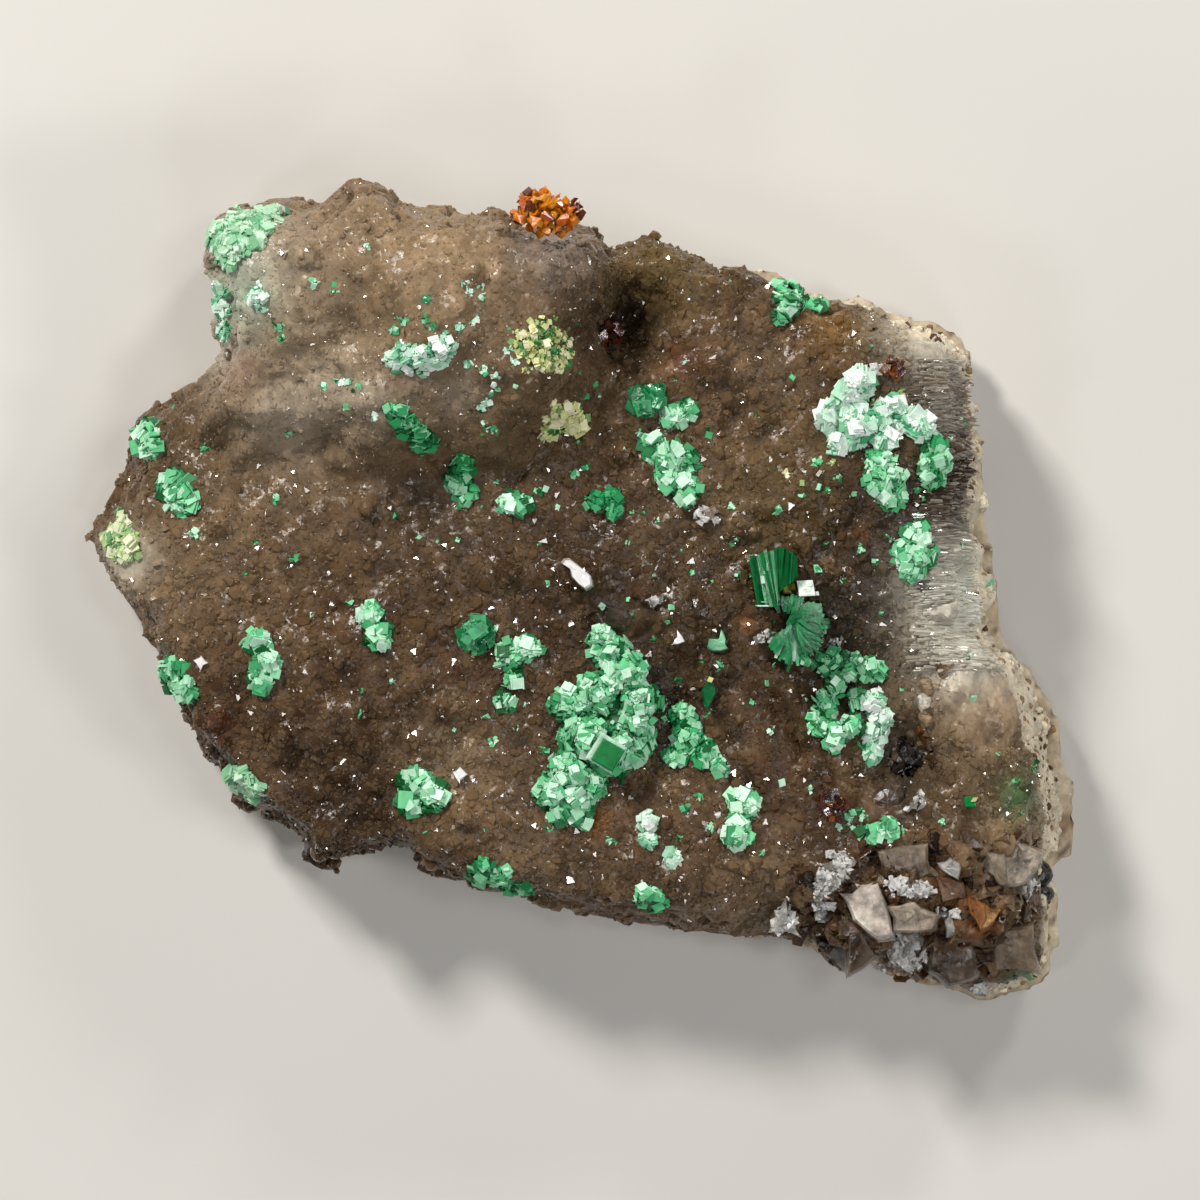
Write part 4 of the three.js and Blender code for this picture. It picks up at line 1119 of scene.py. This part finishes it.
def make_fresh_crystal():
    """The clear square crystal that lies on the main rosette, with a frosted tablet under it."""
    x, y = 0.95, -6.5
    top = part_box("torbernite_main_rosette")[1][2] / MM
    z = min(ground(x, y)[0] + 1.8, top + 0.1)
    at = [(x - 0.06, y + 0.08, z - 0.16), (x, y, z)]
    axes = [(0.1, -0.1, 1), (0.15, -0.1, 1)]
    sizes = [(1.2, 1.2, 0.2), (0.98, 0.98, 0.24)]
    colours = (WHITE_MINT, BRIGHT_EMERALD)
    stack("fresh_square_crystal", at, axes, (12, 14), sizes, colours, EMERALD_GLASS, "torbernite_deep")


def make_small_crystals():
    """Single green crystals on the druse: a bottle green blade with a pale tip, and a bud at the right."""
    places = [(4.93, -4.05, 0.2), (5.0, -3.55, 0.35), (15.3, -8.4, 0.15), (15.45, -8.3, 0.25)]
    at = [on_ground(*place) for place in places]
    sizes = [(0.42, 1.1, 0.35), (0.2, 0.22, 0.15), (0.45, 0.4, 0.3), (0.14, 0.24, 0.2)]
    axes = [(0.2, 0.2, 1), (0, 0, 1), (-0.2, 0.1, 1), (0.2, 0, 1)]
    colours = (DEEP_GREEN, YELLOW_MINT, BRIGHT_EMERALD, YELLOW_MINT)
    spins = (84, 20, 50, 30)
    stack("small_green_crystals", at, axes, spins, sizes, colours, EMERALD_GLASS, "torbernite_deep")


def stack(name, at, axes, spins, sizes, palette, material, slot, *nodes):
    """Tablets one by one, each with its own place, facing, spin and size."""
    at, axes, sizes = (np.array(rows, float) for rows in (at, axes, sizes))
    verts, faces = copies(TABLET, at, axes, np.radians(spins), sizes)
    tint = np.array([linear(colour) for colour in palette])
    return piece(new_object(name, verts, faces, spread(tint, TABLET)), material, slot, *nodes)


# The book crystal's outline from above: its upper and lower edge, from left to right
BOOK_UPPER = [(6.52, 1.18), (7.2, 1.55), (7.9, 1.66), (8.42, 1.32)]
BOOK_LOWER = [(6.84, -0.6), (7.6, -0.66), (7.72, 0.0), (8.42, 0.42)]
BOOK_LEAVES = 15
PALE_LEAVES = (2, 6)
# Pale patches on the book: painted glints, and pale lines along its lower edge: x, y, width, height, colour
BOOK_GLINTS = [
    (6.98, 0.25, 0.16, 0.3, WHITE_MINT), (7.2, 0.75, 0.07, 0.3, MINT), (6.85, -0.66, 0.5, 0.06, WHITE_MINT),
    (7.05, 0.62, 0.1, 0.12, MINT), (7.0, -0.5, 0.25, 0.05, MINT),
]


def along(points, t):
    """The point at share t of a line of points."""
    places = np.linspace(0, 1, len(points))
    return np.array([np.interp(t, places, [p[k] for p in points]) for k in range(2)])


def make_book():
    """Leaves pressed side by side, seen on their edges, each ending a little higher or lower."""
    base = ground(7.5, 0.4)[0]
    parts = []
    for k in range(BOOK_LEAVES):
        s, e = k / BOOK_LEAVES, (k + 1) / BOOK_LEAVES
        step = 0.03 * rng.standard_normal(2)
        upper = [along(BOOK_UPPER, t) + (0, step[0]) for t in (s, e)]
        lower = [along(BOOK_LOWER, t) + (0, step[1]) for t in (e, s)]
        rise = base + 1.5 - 0.4 * abs(s - 0.3) + 0.035 * rng.standard_normal()
        corners = [upper[0], lower[1], lower[0], upper[1]]
        verts, faces = slab(corners, base - 0.4, [rise + 0.04 * rng.standard_normal() for _ in corners])
        share = 0.62 if k in PALE_LEAVES else 0.05 + 0.45 * rng.random()
        parts.append((verts, faces, np.tile(shaded((EMERALD, BRIGHT_EMERALD, MINT), [share]), (8, 1))))
    # The pale patches: painted glints, and the pale lines along the lower edge
    for x, y, wide, tall, colour in BOOK_GLINTS:
        corners = [(x, y), (x + wide, y), (x + 0.8 * wide, y + tall), (x - 0.2 * wide, y + tall)]
        verts, faces = slab(corners, base, [base + 1.53] * 4)
        parts.append((verts, faces, np.tile(linear(colour), (8, 1))))
    verts, faces, tint = join_arrays(parts)
    piece(new_object("book_leaves", verts, faces, tint), EMERALD_GLASS, "torbernite_deep", "torbernite_book")


def blade(root, heading, long, bend, low, high, thick, tints):
    """An upright curved plate from its root outwards, tinted from its root to its outer end."""
    steps = 6
    verts, faces, tint = [], [], []
    place, turn = np.array(root, float), heading
    for k in range(steps + 1):
        swell = 0.35 + 0.65 * math.sin(0.4 + 2.3 * k / steps)
        side = np.array([-math.sin(turn), math.cos(turn)]) * thick * swell
        top = high - 0.12 * (k / steps - 0.5) ** 2
        left, right = place - side, place + side
        verts += [(*left, low), (*right, low), (*right, top), (*left, top)]
        colour = linear(tints[0]) * (1 - k / steps) + linear(tints[1]) * (k / steps)
        tint += [colour] * 4
        place = place + np.array([math.cos(turn), math.sin(turn)]) * long / steps
        turn += bend / steps
    for k in range(steps):
        a, b = 4 * k, 4 * (k + 1)
        for i in range(4):
            j = (i + 1) % 4
            faces += [(a + i, a + j, b + j), (a + i, b + j, b + i)]
    last = 4 * steps
    faces += [(0, 2, 1), (0, 3, 2), (last, last + 1, last + 2), (last, last + 2, last + 3)]
    faces = [(a, c, b) for a, b, c in faces]
    return np.array(verts), np.array(faces), np.clip(np.array(tint), 0, 1)


# Bundles of the sheaf: count, root and its shift, headings and lengths of its first and last leaf, bend,
# and the two colours of the tips, most of them the first
SHEAF_BUNDLES = [
    (52, (7.9, -1.65), (0.55, 0.7), (64, 6), (1.55, 0.95), -0.45, (MID_GREEN, MINT)),
    (50, (8.5, -1.05), (-0.3, -0.3), (-8, -82), (0.85, 1.6), 0.3, (DEEP_GREEN, MINT)),
    (34, (8.15, -1.4), (-0.1, 0.0), (-82, -124), (1.5, 1.0), -0.2, (MID_GREEN, WHITE_MINT)),
    (16, (7.8, -1.12), (0.5, 0.15), (96, 70), (0.85, 0.7), 0.15, (MID_GREEN, MINT)),
    (10, (8.72, -2.5), (0.1, -0.05), (-60, -140), (0.5, 0.45), 0.1, (MID_GREEN, WHITE_MINT)),
    (8, (9.25, -1.5), (0.05, 0.1), (-60, 50), (0.42, 0.42), 0.3, (EMERALD, EMERALD)),
]
LEAF_THICKNESS = 0.085
SMALL_CAPS = 16
CAP_TURN = 52


def make_sheaf():
    """Curved leaves that fan out from a few roots, pressed close, pale at some of their ends."""
    base = ground(8.5, -1.5)[0]
    parts = []
    for count, root, shift, headings, lengths, bend, tips in SHEAF_BUNDLES:
        for k in range(count):
            t = k / (count - 1)
            place = np.array(root) + t * np.array(shift) + 0.04 * rng.standard_normal(2)
            heading = math.radians(between(headings, t)) + 0.14 * rng.standard_normal()
            reach = between(lengths, t) * (1 + 0.06 * rng.standard_normal())
            skipped = 0.55 * rng.random()
            place = place + skipped * reach * np.array([math.cos(heading), math.sin(heading)])
            long = reach * (1 - skipped)
            heading += bend * skipped
            bend_here = bend * (1 - skipped) + 0.3 * rng.standard_normal()
            rise = base + 0.95 - 0.4 * skipped + 0.2 * math.sin(3.1 * t) + 0.05 * rng.standard_normal()
            inner = DEEP_GREEN if rng.random() < 0.6 else MID_GREEN
            tip = tips[int(rng.random() < 0.16)]
            ends = (inner, tip)
            parts.append(blade(place, heading, long, bend_here, base - 0.3, rise, LEAF_THICKNESS, ends))
    blades = new_object("sheaf_blades", *join_arrays(parts))
    piece(blades, EMERALD_GLASS, "torbernite_deep", "torbernite_sheaf")
    make_sheaf_caps(base)


def make_sheaf_caps(base):
    """The frosted tablets between the book and the sheaf, with small ones and mossy ones round them."""
    cap = np.array([8.77, 0.06, base + 0.95])
    # The second tablet, small and frost-white at (9.2, -0.14), is a painted glint
    at = [cap, (9.2, -0.14, base + 0.8), (8.0, 0.0, base + 0.5), (8.2, 0.1, base + 0.45)]
    axes = [(0.1, 0.25, 1), (0.5, 0, 1), (0.4, 0.3, 1), (-0.3, 0.4, 1)]
    sizes = [(0.66, 0.6, 0.12), (0.18, 0.14, 0.08), (0.35, 0.3, 0.2), (0.3, 0.3, 0.2)]
    colours = [FROST, FROST, MOSS, DARK_MOSS]
    for _ in range(SMALL_CAPS):
        at.append(cap + (0.48 * rng.random() - 0.24, 0.44 * rng.random() - 0.22, 0.06 + 0.02 * rng.random()))
        axes.append((0.1 + 0.1 * rng.standard_normal(), 0.25 + 0.1 * rng.standard_normal(), 1))
        sizes.append((0.1 + 0.14 * rng.random(), 0.1 + 0.12 * rng.random(), 0.05))
        colours.append(FROST if rng.random() < 0.6 else WHITE_MINT)
    stack("sheaf_caps", at, axes, [CAP_TURN] * len(at), sizes, colours, TORBERNITE, "torbernite_pale")


def chunk(at, size, turn, facets, tint):
    """A broken crystal: the hull of points scattered over a stretched ball."""
    shape = bmesh.new()
    directions = rng.standard_normal((facets, 3))
    directions /= np.linalg.norm(directions, axis=1, keepdims=True)
    for direction in directions:
        shape.verts.new(direction)
    hull = bmesh.ops.convex_hull(shape, input=shape.verts[:])
    bmesh.ops.delete(shape, geom=[v for v in hull["geom_interior"] + hull["geom_unused"] if v.is_valid],
                     context="VERTS")
    bmesh.ops.triangulate(shape, faces=shape.faces[:])
    bmesh.ops.recalc_face_normals(shape, faces=shape.faces[:])
    shape.verts.index_update()
    verts = np.array([v.co[:] for v in shape.verts]) * size
    faces = np.array([[v.index for v in face.verts] for face in shape.faces])
    shape.free()
    turned = verts @ np.array(Matrix.Rotation(math.radians(turn), 3, "Z")).T
    return turned + at, faces, np.tile(linear(tint), (len(verts), 1))


# Broken faces: outline from above, height over the ground at its middle, slopes along x and y, colour
FACES = [
    ([(10.18, -12.06), (10.96, -11.81), (11.61, -11.65), (11.94, -12.46), (12.18, -13.61), (11.61, -13.77),
      (10.71, -13.04)], 0.5, (0.1, 0.0), PEARL),
    ([(12.02, -12.55), (13.08, -12.34), (13.98, -12.87), (13.82, -13.44), (12.26, -13.5)],
     0.45, (-0.1, 0.2), SAND),
    ([(11.73, -10.42), (13.57, -10.1), (13.73, -11.24), (12.76, -11.57), (11.94, -11.32)],
     0.4, (0.1, 0.2), SMOKE),
    ([(7.45, -13.6), (8.02, -12.2), (8.62, -13.8)], 0.3, (0, 0.5), GLITTER),
    ([(9.49, -14.42), (10.06, -13.85), (10.5, -13.6), (10.5, -15.28)], 0.3, (0.5, 0.4), GREY),
    ([(10.5, -13.6), (10.96, -13.44), (11.61, -14.51), (10.5, -15.28)], 0.3, (-0.5, 0.4), BROWN),
    ([(14.06, -10.85), (14.5, -10.6), (14.9, -11.0), (14.8, -11.45), (14.2, -11.1)],
     0.5, (0.2, 0.3), GLITTER),
    ([(15.45, -10.75), (15.94, -10.18), (16.67, -9.69), (16.8, -11.7), (16.43, -11.65), (16.1, -11.24)],
     0.35, (0.3, 0.1), DUN),
    ([(16.67, -9.69), (17.16, -10.0), (18.22, -10.5), (17.9, -11.24), (17.24, -11.73), (16.8, -11.7)],
     0.4, (-0.3, 0.2), PALE_DUN),
    ([(15.2, -12.06), (15.86, -12.46), (15.7, -13.45), (15.28, -12.8)], 0.5, (0.3, 0.2), HONEY),
    ([(15.86, -12.46), (16.5, -12.7), (16.26, -13.1), (15.7, -13.45)], 0.5, (-0.3, 0.3), PALE_HONEY),
    ([(14.3, -13.1), (14.6, -13.0), (14.9, -13.7), (14.4, -13.8)], 0.45, (0, 0.3), GLITTER),
    ([(13.9, -11.3), (15.0, -11.6), (15.2, -12.3), (14.2, -12.4)], 0.35, (0.2, 0.2), AMBER_BROWN),
    ([(13.9, -14.0), (15.4, -13.9), (16.2, -15.2), (14.6, -15.8), (13.8, -15.2)], 0.3, (-0.1, 0.3), BROWN),
    ([(16.2, -13.6), (17.8, -13.4), (18.1, -15.2), (16.4, -15.2)], 0.3, (0.1, 0.2), MILKY),
    ([(4.55, 2.95), (4.9, 3.2), (5.3, 3.05), (5.1, 2.75), (4.7, 2.7)], 0.3, (0.2, 0.4), PINKISH),
]
# Clear crystals that look white against the light, painted white as painted glare
GLARE_WHITE_FACES = [
    ([(-0.8, 1.0), (-0.5, 1.15), (0.1, 0.7), (0.3, 0.2), (0.05, 0.05), (-0.45, 0.5)],
     0.26, (0.1, -0.1), SNOW),
    ([(3.5, -2.14), (3.68, -1.58), (3.98, -2.04)], 0.35, (0, -0.3), SNOW),
    ([(-5.2, -7.2), (-4.9, -7.0), (-4.6, -7.3), (-4.9, -7.7)], 0.25, (0.1, -0.2), SNOW),
    ([(-15.5, -2.8), (-15.2, -2.6), (-14.9, -2.9), (-15.2, -3.2)], 0.25, (0.1, -0.2), SNOW),
]
# Patches of small broken points that sparkle: x, y, half-widths, turn, count
SPARKLES = [
    (9.9, -11.2, 0.8, 0.42, 35, 190), (9.5, -12.3, 0.32, 0.8, 0, 150), (12.9, -11.75, 0.9, 0.28, -10, 180),
    (12.9, -14.4, 0.75, 0.75, 20, 280), (8.0, -13.1, 0.4, 0.55, 0, 60), (15.9, -16.0, 0.45, 0.2, 10, 40),
    (11.6, -15.2, 0.8, 0.3, -25, 70), (10.2, -10.6, 0.5, 0.2, -20, 40), (14.4, -12.8, 0.5, 0.3, 0, 24),
    (17.9, -12.0, 0.5, 0.3, 40, 30), (4.9, 2.9, 0.5, 0.4, 0, 26), (2.9, -0.4, 0.5, 0.15, 30, 16),
    (11.5, 8.75, 0.25, 0.2, 0, 14), (15.6, 8.2, 0.3, 0.15, 0, 14), (7.2, -1.9, 0.35, 0.25, 0, 16),
    (10.0, -2.0, 0.3, 0.2, 0, 8), (13.2, -8.4, 0.5, 0.2, 40, 20),
]
# How many broken pieces there are in all, with those of the tables, and from where to where the rest lie
RUBBLE = 1500
RUBBLE_X = (8.6, 18.2)
RUBBLE_Y = (-15.8, -9.6)
# Rings of a block from its foot up and inwards: reach of the outline, drop below the face
BLOCK_RINGS = ((1.2, 1.0), (1.05, 0.16), (0.92, 0.0), (0.6, 0.0), (0.3, 0.0))


def face_block(outline, height, slope, tint):
    """A broken crystal with one uneven face up: a sloping, bevelled top over an outline, closed below."""
    outline = np.array(outline)
    middle = outline.mean(axis=0)
    pairs = zip(np.roll(outline, 1, axis=0), outline)
    area = sum(x0 * y1 - x1 * y0 for (x0, y0), (x1, y1) in pairs)
    if area < 0:
        outline = outline[::-1]
    halfway = (outline + np.roll(outline, -1, axis=0)) / 2 + 0.07 * rng.standard_normal(outline.shape)
    edge = np.stack([outline, halfway], axis=1).reshape(-1, 2)
    count = len(edge)
    base = ground(*middle)[0]
    verts = []
    for reach, drop in BLOCK_RINGS:
        ring = middle + (edge - middle) * reach
        rough = 0.014 * rng.standard_normal(count)
        level = base + height - drop + (ring - middle) @ np.array(slope) + rough
        verts += [(x, y, z) for (x, y), z in zip(ring, level)]
    verts += [(*middle, base + height), (*middle, base + height - 1.0)]
    top, foot = len(verts) - 2, len(verts) - 1
    inner = (len(BLOCK_RINGS) - 1) * count
    faces = []
    for i in range(count):
        j = (i + 1) % count
        faces += [(foot, j, i), (inner + i, inner + j, top)]
        for k in range(len(BLOCK_RINGS) - 1):
            a, b = k * count, (k + 1) * count
            faces += [(a + i, a + j, b + i), (a + j, b + j, b + i)]
    verts = np.array(verts)
    cloud = np.clip(0.5 + 1.2 * noise_at(verts, 0.7, 12.0), 0, 1)[:, None]
    tint = linear(tint) * (0.6 + 0.5 * cloud) + linear(PALE_QUARTZ) * 0.2 * cloud**2
    return verts, np.array(faces), tint


def make_blocks():
    """Broken faces, sparkling patches and rubble at the lower right, and the clear crystals painted white as
    painted glare.
    """
    parts = [face_block(*row) for row in FACES]
    for x, y, rx, ry, turn, count in SPARKLES:
        turn = math.radians(turn)
        for _ in range(count):
            angle, reach = FULL_TURN * rng.random(), math.sqrt(rng.random())
            a, b = rx * reach * math.cos(angle), ry * reach * math.sin(angle)
            px, py = x + a * math.cos(turn) - b * math.sin(turn), y + a * math.sin(turn) + b * math.cos(turn)
            spot = ground(px, py)
            if spot is None:
                continue
            size = (0.08 + 0.16 * rng.random() ** 2) * (0.7 + 0.6 * rng.random(3))
            tint = (SNOW, SNOW, SNOW, GLITTER, GREY)[rng.integers(5)]
            parts.append(chunk((px, py, spot[0] + 0.28), size * (1.2, 1.2, 0.7), 360 * rng.random(), 6, tint))
    while len(parts) < RUBBLE:
        px, py = between(RUBBLE_X, rng.random()), between(RUBBLE_Y, rng.random())
        spot = ground(px, py)
        if spot is None or py > -9.0 - 0.4 * (14 - px):
            continue
        size = (0.15 + 0.4 * rng.random() ** 2) * (0.7 + 0.6 * rng.random(3))
        tint = (BROWN, BROWN, DARK_BROWN, MILKY, UMBER)[rng.integers(5)]
        parts.append(chunk((px, py, spot[0]), size, 360 * rng.random(), 7, tint))
    verts, faces, tint = join_arrays(parts)
    tint = tint * (1 + 0.12 * noise_at(verts, 0.5, 4.0)[:, None])
    piece(new_object("broken_quartz_faces", verts, faces, np.clip(tint, 0, 1)), GLASSY, "smoky_quartz")
    # Painted glare: the clear crystals' snow white tint is raised further
    verts, faces, tint = join_arrays([face_block(*row) for row in GLARE_WHITE_FACES])
    piece(new_object("glare_white_quartz_faces", verts, faces, np.clip(1.4 * tint, 0, 1)), POINT, "smoky_quartz")


# Worn glassy lumps: x, y, half-sizes, how far they stand out, colour
LUMPS = [
    (13.7, -3.8, 0.42, 0.4, 0.4, 0.22, TAN), (13.5, -4.4, 0.34, 0.4, 0.4, 0.2, PALE_QUARTZ),
    (13.7, -5.0, 0.42, 0.42, 0.4, 0.22, TAN), (13.5, -5.6, 0.32, 0.36, 0.4, 0.2, AMBER_BROWN),
    (13.8, -6.1, 0.3, 0.3, 0.3, 0.2, BROWN), (13.9, -6.7, 0.3, 0.3, 0.3, 0.2, BROWN),
    (14.2, -3.0, 0.45, 0.4, 0.4, 0.25, MILKY), (13.5, 0.2, 0.5, 0.45, 0.6, 0.14, GREY),
    (13.8, -0.8, 0.9, 0.6, 0.8, 0.1, PALE_QUARTZ), (5.3, -8.9, 0.17, 0.15, 0.15, 0.14, SNOW),
    (5.4, -9.6, 0.14, 0.14, 0.14, 0.12, SNOW), (12.0, -8.5, 0.85, 0.9, 0.7, 0.22, DARK_SMOKE),
    (1.8, -0.9, 1.25, 0.85, 0.7, 0.14, DARK_UMBER), (4.4, -0.9, 0.7, 0.7, 0.6, 0.14, DARK_UMBER),
    # The two black lumps at the lower right stand in the dark cavity there: painted shade
    (3.2, -0.9, 0.3, 0.3, 0.3, 0.2, MILKY), (18.35, -11.5, 0.55, 0.5, 0.4, 0.14, BLACK),
    (18.5, -12.2, 0.4, 0.35, 0.4, 0.14, BLACK), (9.6, 1.0, 0.7, 0.55, 0.6, 0.14, MILKY),
    (10.4, 0.6, 0.5, 0.5, 0.5, 0.14, BROWN),
]


def make_wedge():
    """The small milky wedge above and to the right of the main rosette."""
    outline = [(4.9, -2.25), (5.1, -2.4), (5.7, -2.32), (5.6, -1.95), (5.42, -1.6), (5.2, -1.95)]
    verts, faces, tint = face_block(outline, 0.35, (0.1, 0.35), MILKY_MINT)
    piece(new_object("wedge_crystal", verts, faces, tint), TORBERNITE, "torbernite_pale", "torbernite_wedge")


def make_lumps():
    """Blunt glassy crystals that stand a little out of the druse."""
    ball = ring_solid(14, [(math.sin(a), -math.cos(a)) for a in np.linspace(0.3, 2.84, 7)], -1.0, 1.0)
    parts = []
    for x, y, rx, ry, rz, out, tint in LUMPS:
        verts, faces = ball[0] * (rx, ry, rz), ball[1]
        verts = verts * (1 + 0.45 * facets_at((verts + x) / rx, 1.3, 7.0)[:, None])
        at = (x, y, ground(x, y)[0] + out - rz)
        parts.append((verts + at, faces, np.tile(linear(tint), (len(verts), 1))))
    verts, faces, tint = join_arrays(parts)
    piece(new_object("quartz_lumps", verts, faces, tint), GLASSY, "smoky_quartz")


def grains(name, middle, reach, count, size, palette, material, slot, *nodes):
    """A heap of small faceted crystals over a spot: reach is half-sizes along x, y and z."""
    parts = []
    for _ in range(count):
        direction = rng.standard_normal(3)
        direction /= np.linalg.norm(direction)
        at = np.array(middle) + direction * reach * rng.random() ** 0.4
        wide = between(size, rng.random()) * (0.6 + 0.7 * rng.random(3))
        tint = palette[rng.integers(len(palette))]
        parts.append(chunk(at, wide, 360 * rng.random(), 9, tint))
    verts, faces, tint = join_arrays(parts)
    piece(new_object(name, verts, faces, tint), material, slot, *nodes)


def on_ground(x, y, lift):
    """A place a little above the quartz."""
    return x, y, ground(x, y)[0] + lift


def box_of(node):
    """The middle and the half-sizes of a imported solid's box, in millimetres."""
    low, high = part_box(node)
    middle = [(low[k] + high[k]) / 2 / MM for k in range(3)]
    half = [(high[k] - low[k]) / 2 / MM for k in range(3)]
    return middle, half


AMBER_TINTS = (ORANGE, ORANGE, (252, 170, 40), (206, 100, 10), (96, 40, 8))
RUSTY_TINTS = ((74, 24, 8), (92, 32, 10), (40, 12, 6), (150, 84, 24))
BLACK_TINTS = (BLACK, BLACK, (48, 42, 38), (20, 16, 14))


def make_oxides():
    """The orange crystals, the dark red grains, the rust in the crevice and the black mass."""
    middle, half = box_of("orange_iron_oxide")
    reach = [size - 0.25 for size in half]
    grains("orange_crystals", middle, reach, 170, (0.2, 0.34), AMBER_TINTS, AMBER,
           "iron_oxide_orange", "orange_iron_oxide")
    grains("red_grain_upper", on_ground(12.2, 8.75, 0.35), (0.38, 0.3, 0.3), 20, (0.18, 0.36), RUSTY_TINTS,
           OXIDE, "iron_oxide_red", "red_brown_grain_upper")
    grains("red_grain_lower", on_ground(9.9, -8.55, 0.4), (0.45, 0.42, 0.25), 34, (0.22, 0.4), RUSTY_TINTS,
           OXIDE, "iron_oxide_red", "red_brown_grain_lower")
    middle, _ = box_of("rust_in_crevice")
    grains("rust_crystals", middle, (0.45, 0.55, 0.5), 30, (0.15, 0.35), RUSTY_TINTS,
           OXIDE, "iron_oxide_red", "rust_in_crevice")
    grains("black_crystals", on_ground(12.8, -6.7, 0.0), (0.9, 1.2, 0.4), 90, (0.2, 0.5), BLACK_TINTS,
           OXIDE, "black_oxide", "black_oxide_mass")


make_rind()
make_druse()
make_blocks()
make_wedge()
make_lumps()
make_comb()
make_growths()
make_flecks()
make_fresh_crystal()
make_small_crystals()
make_book()
make_sheaf()
make_oxides()
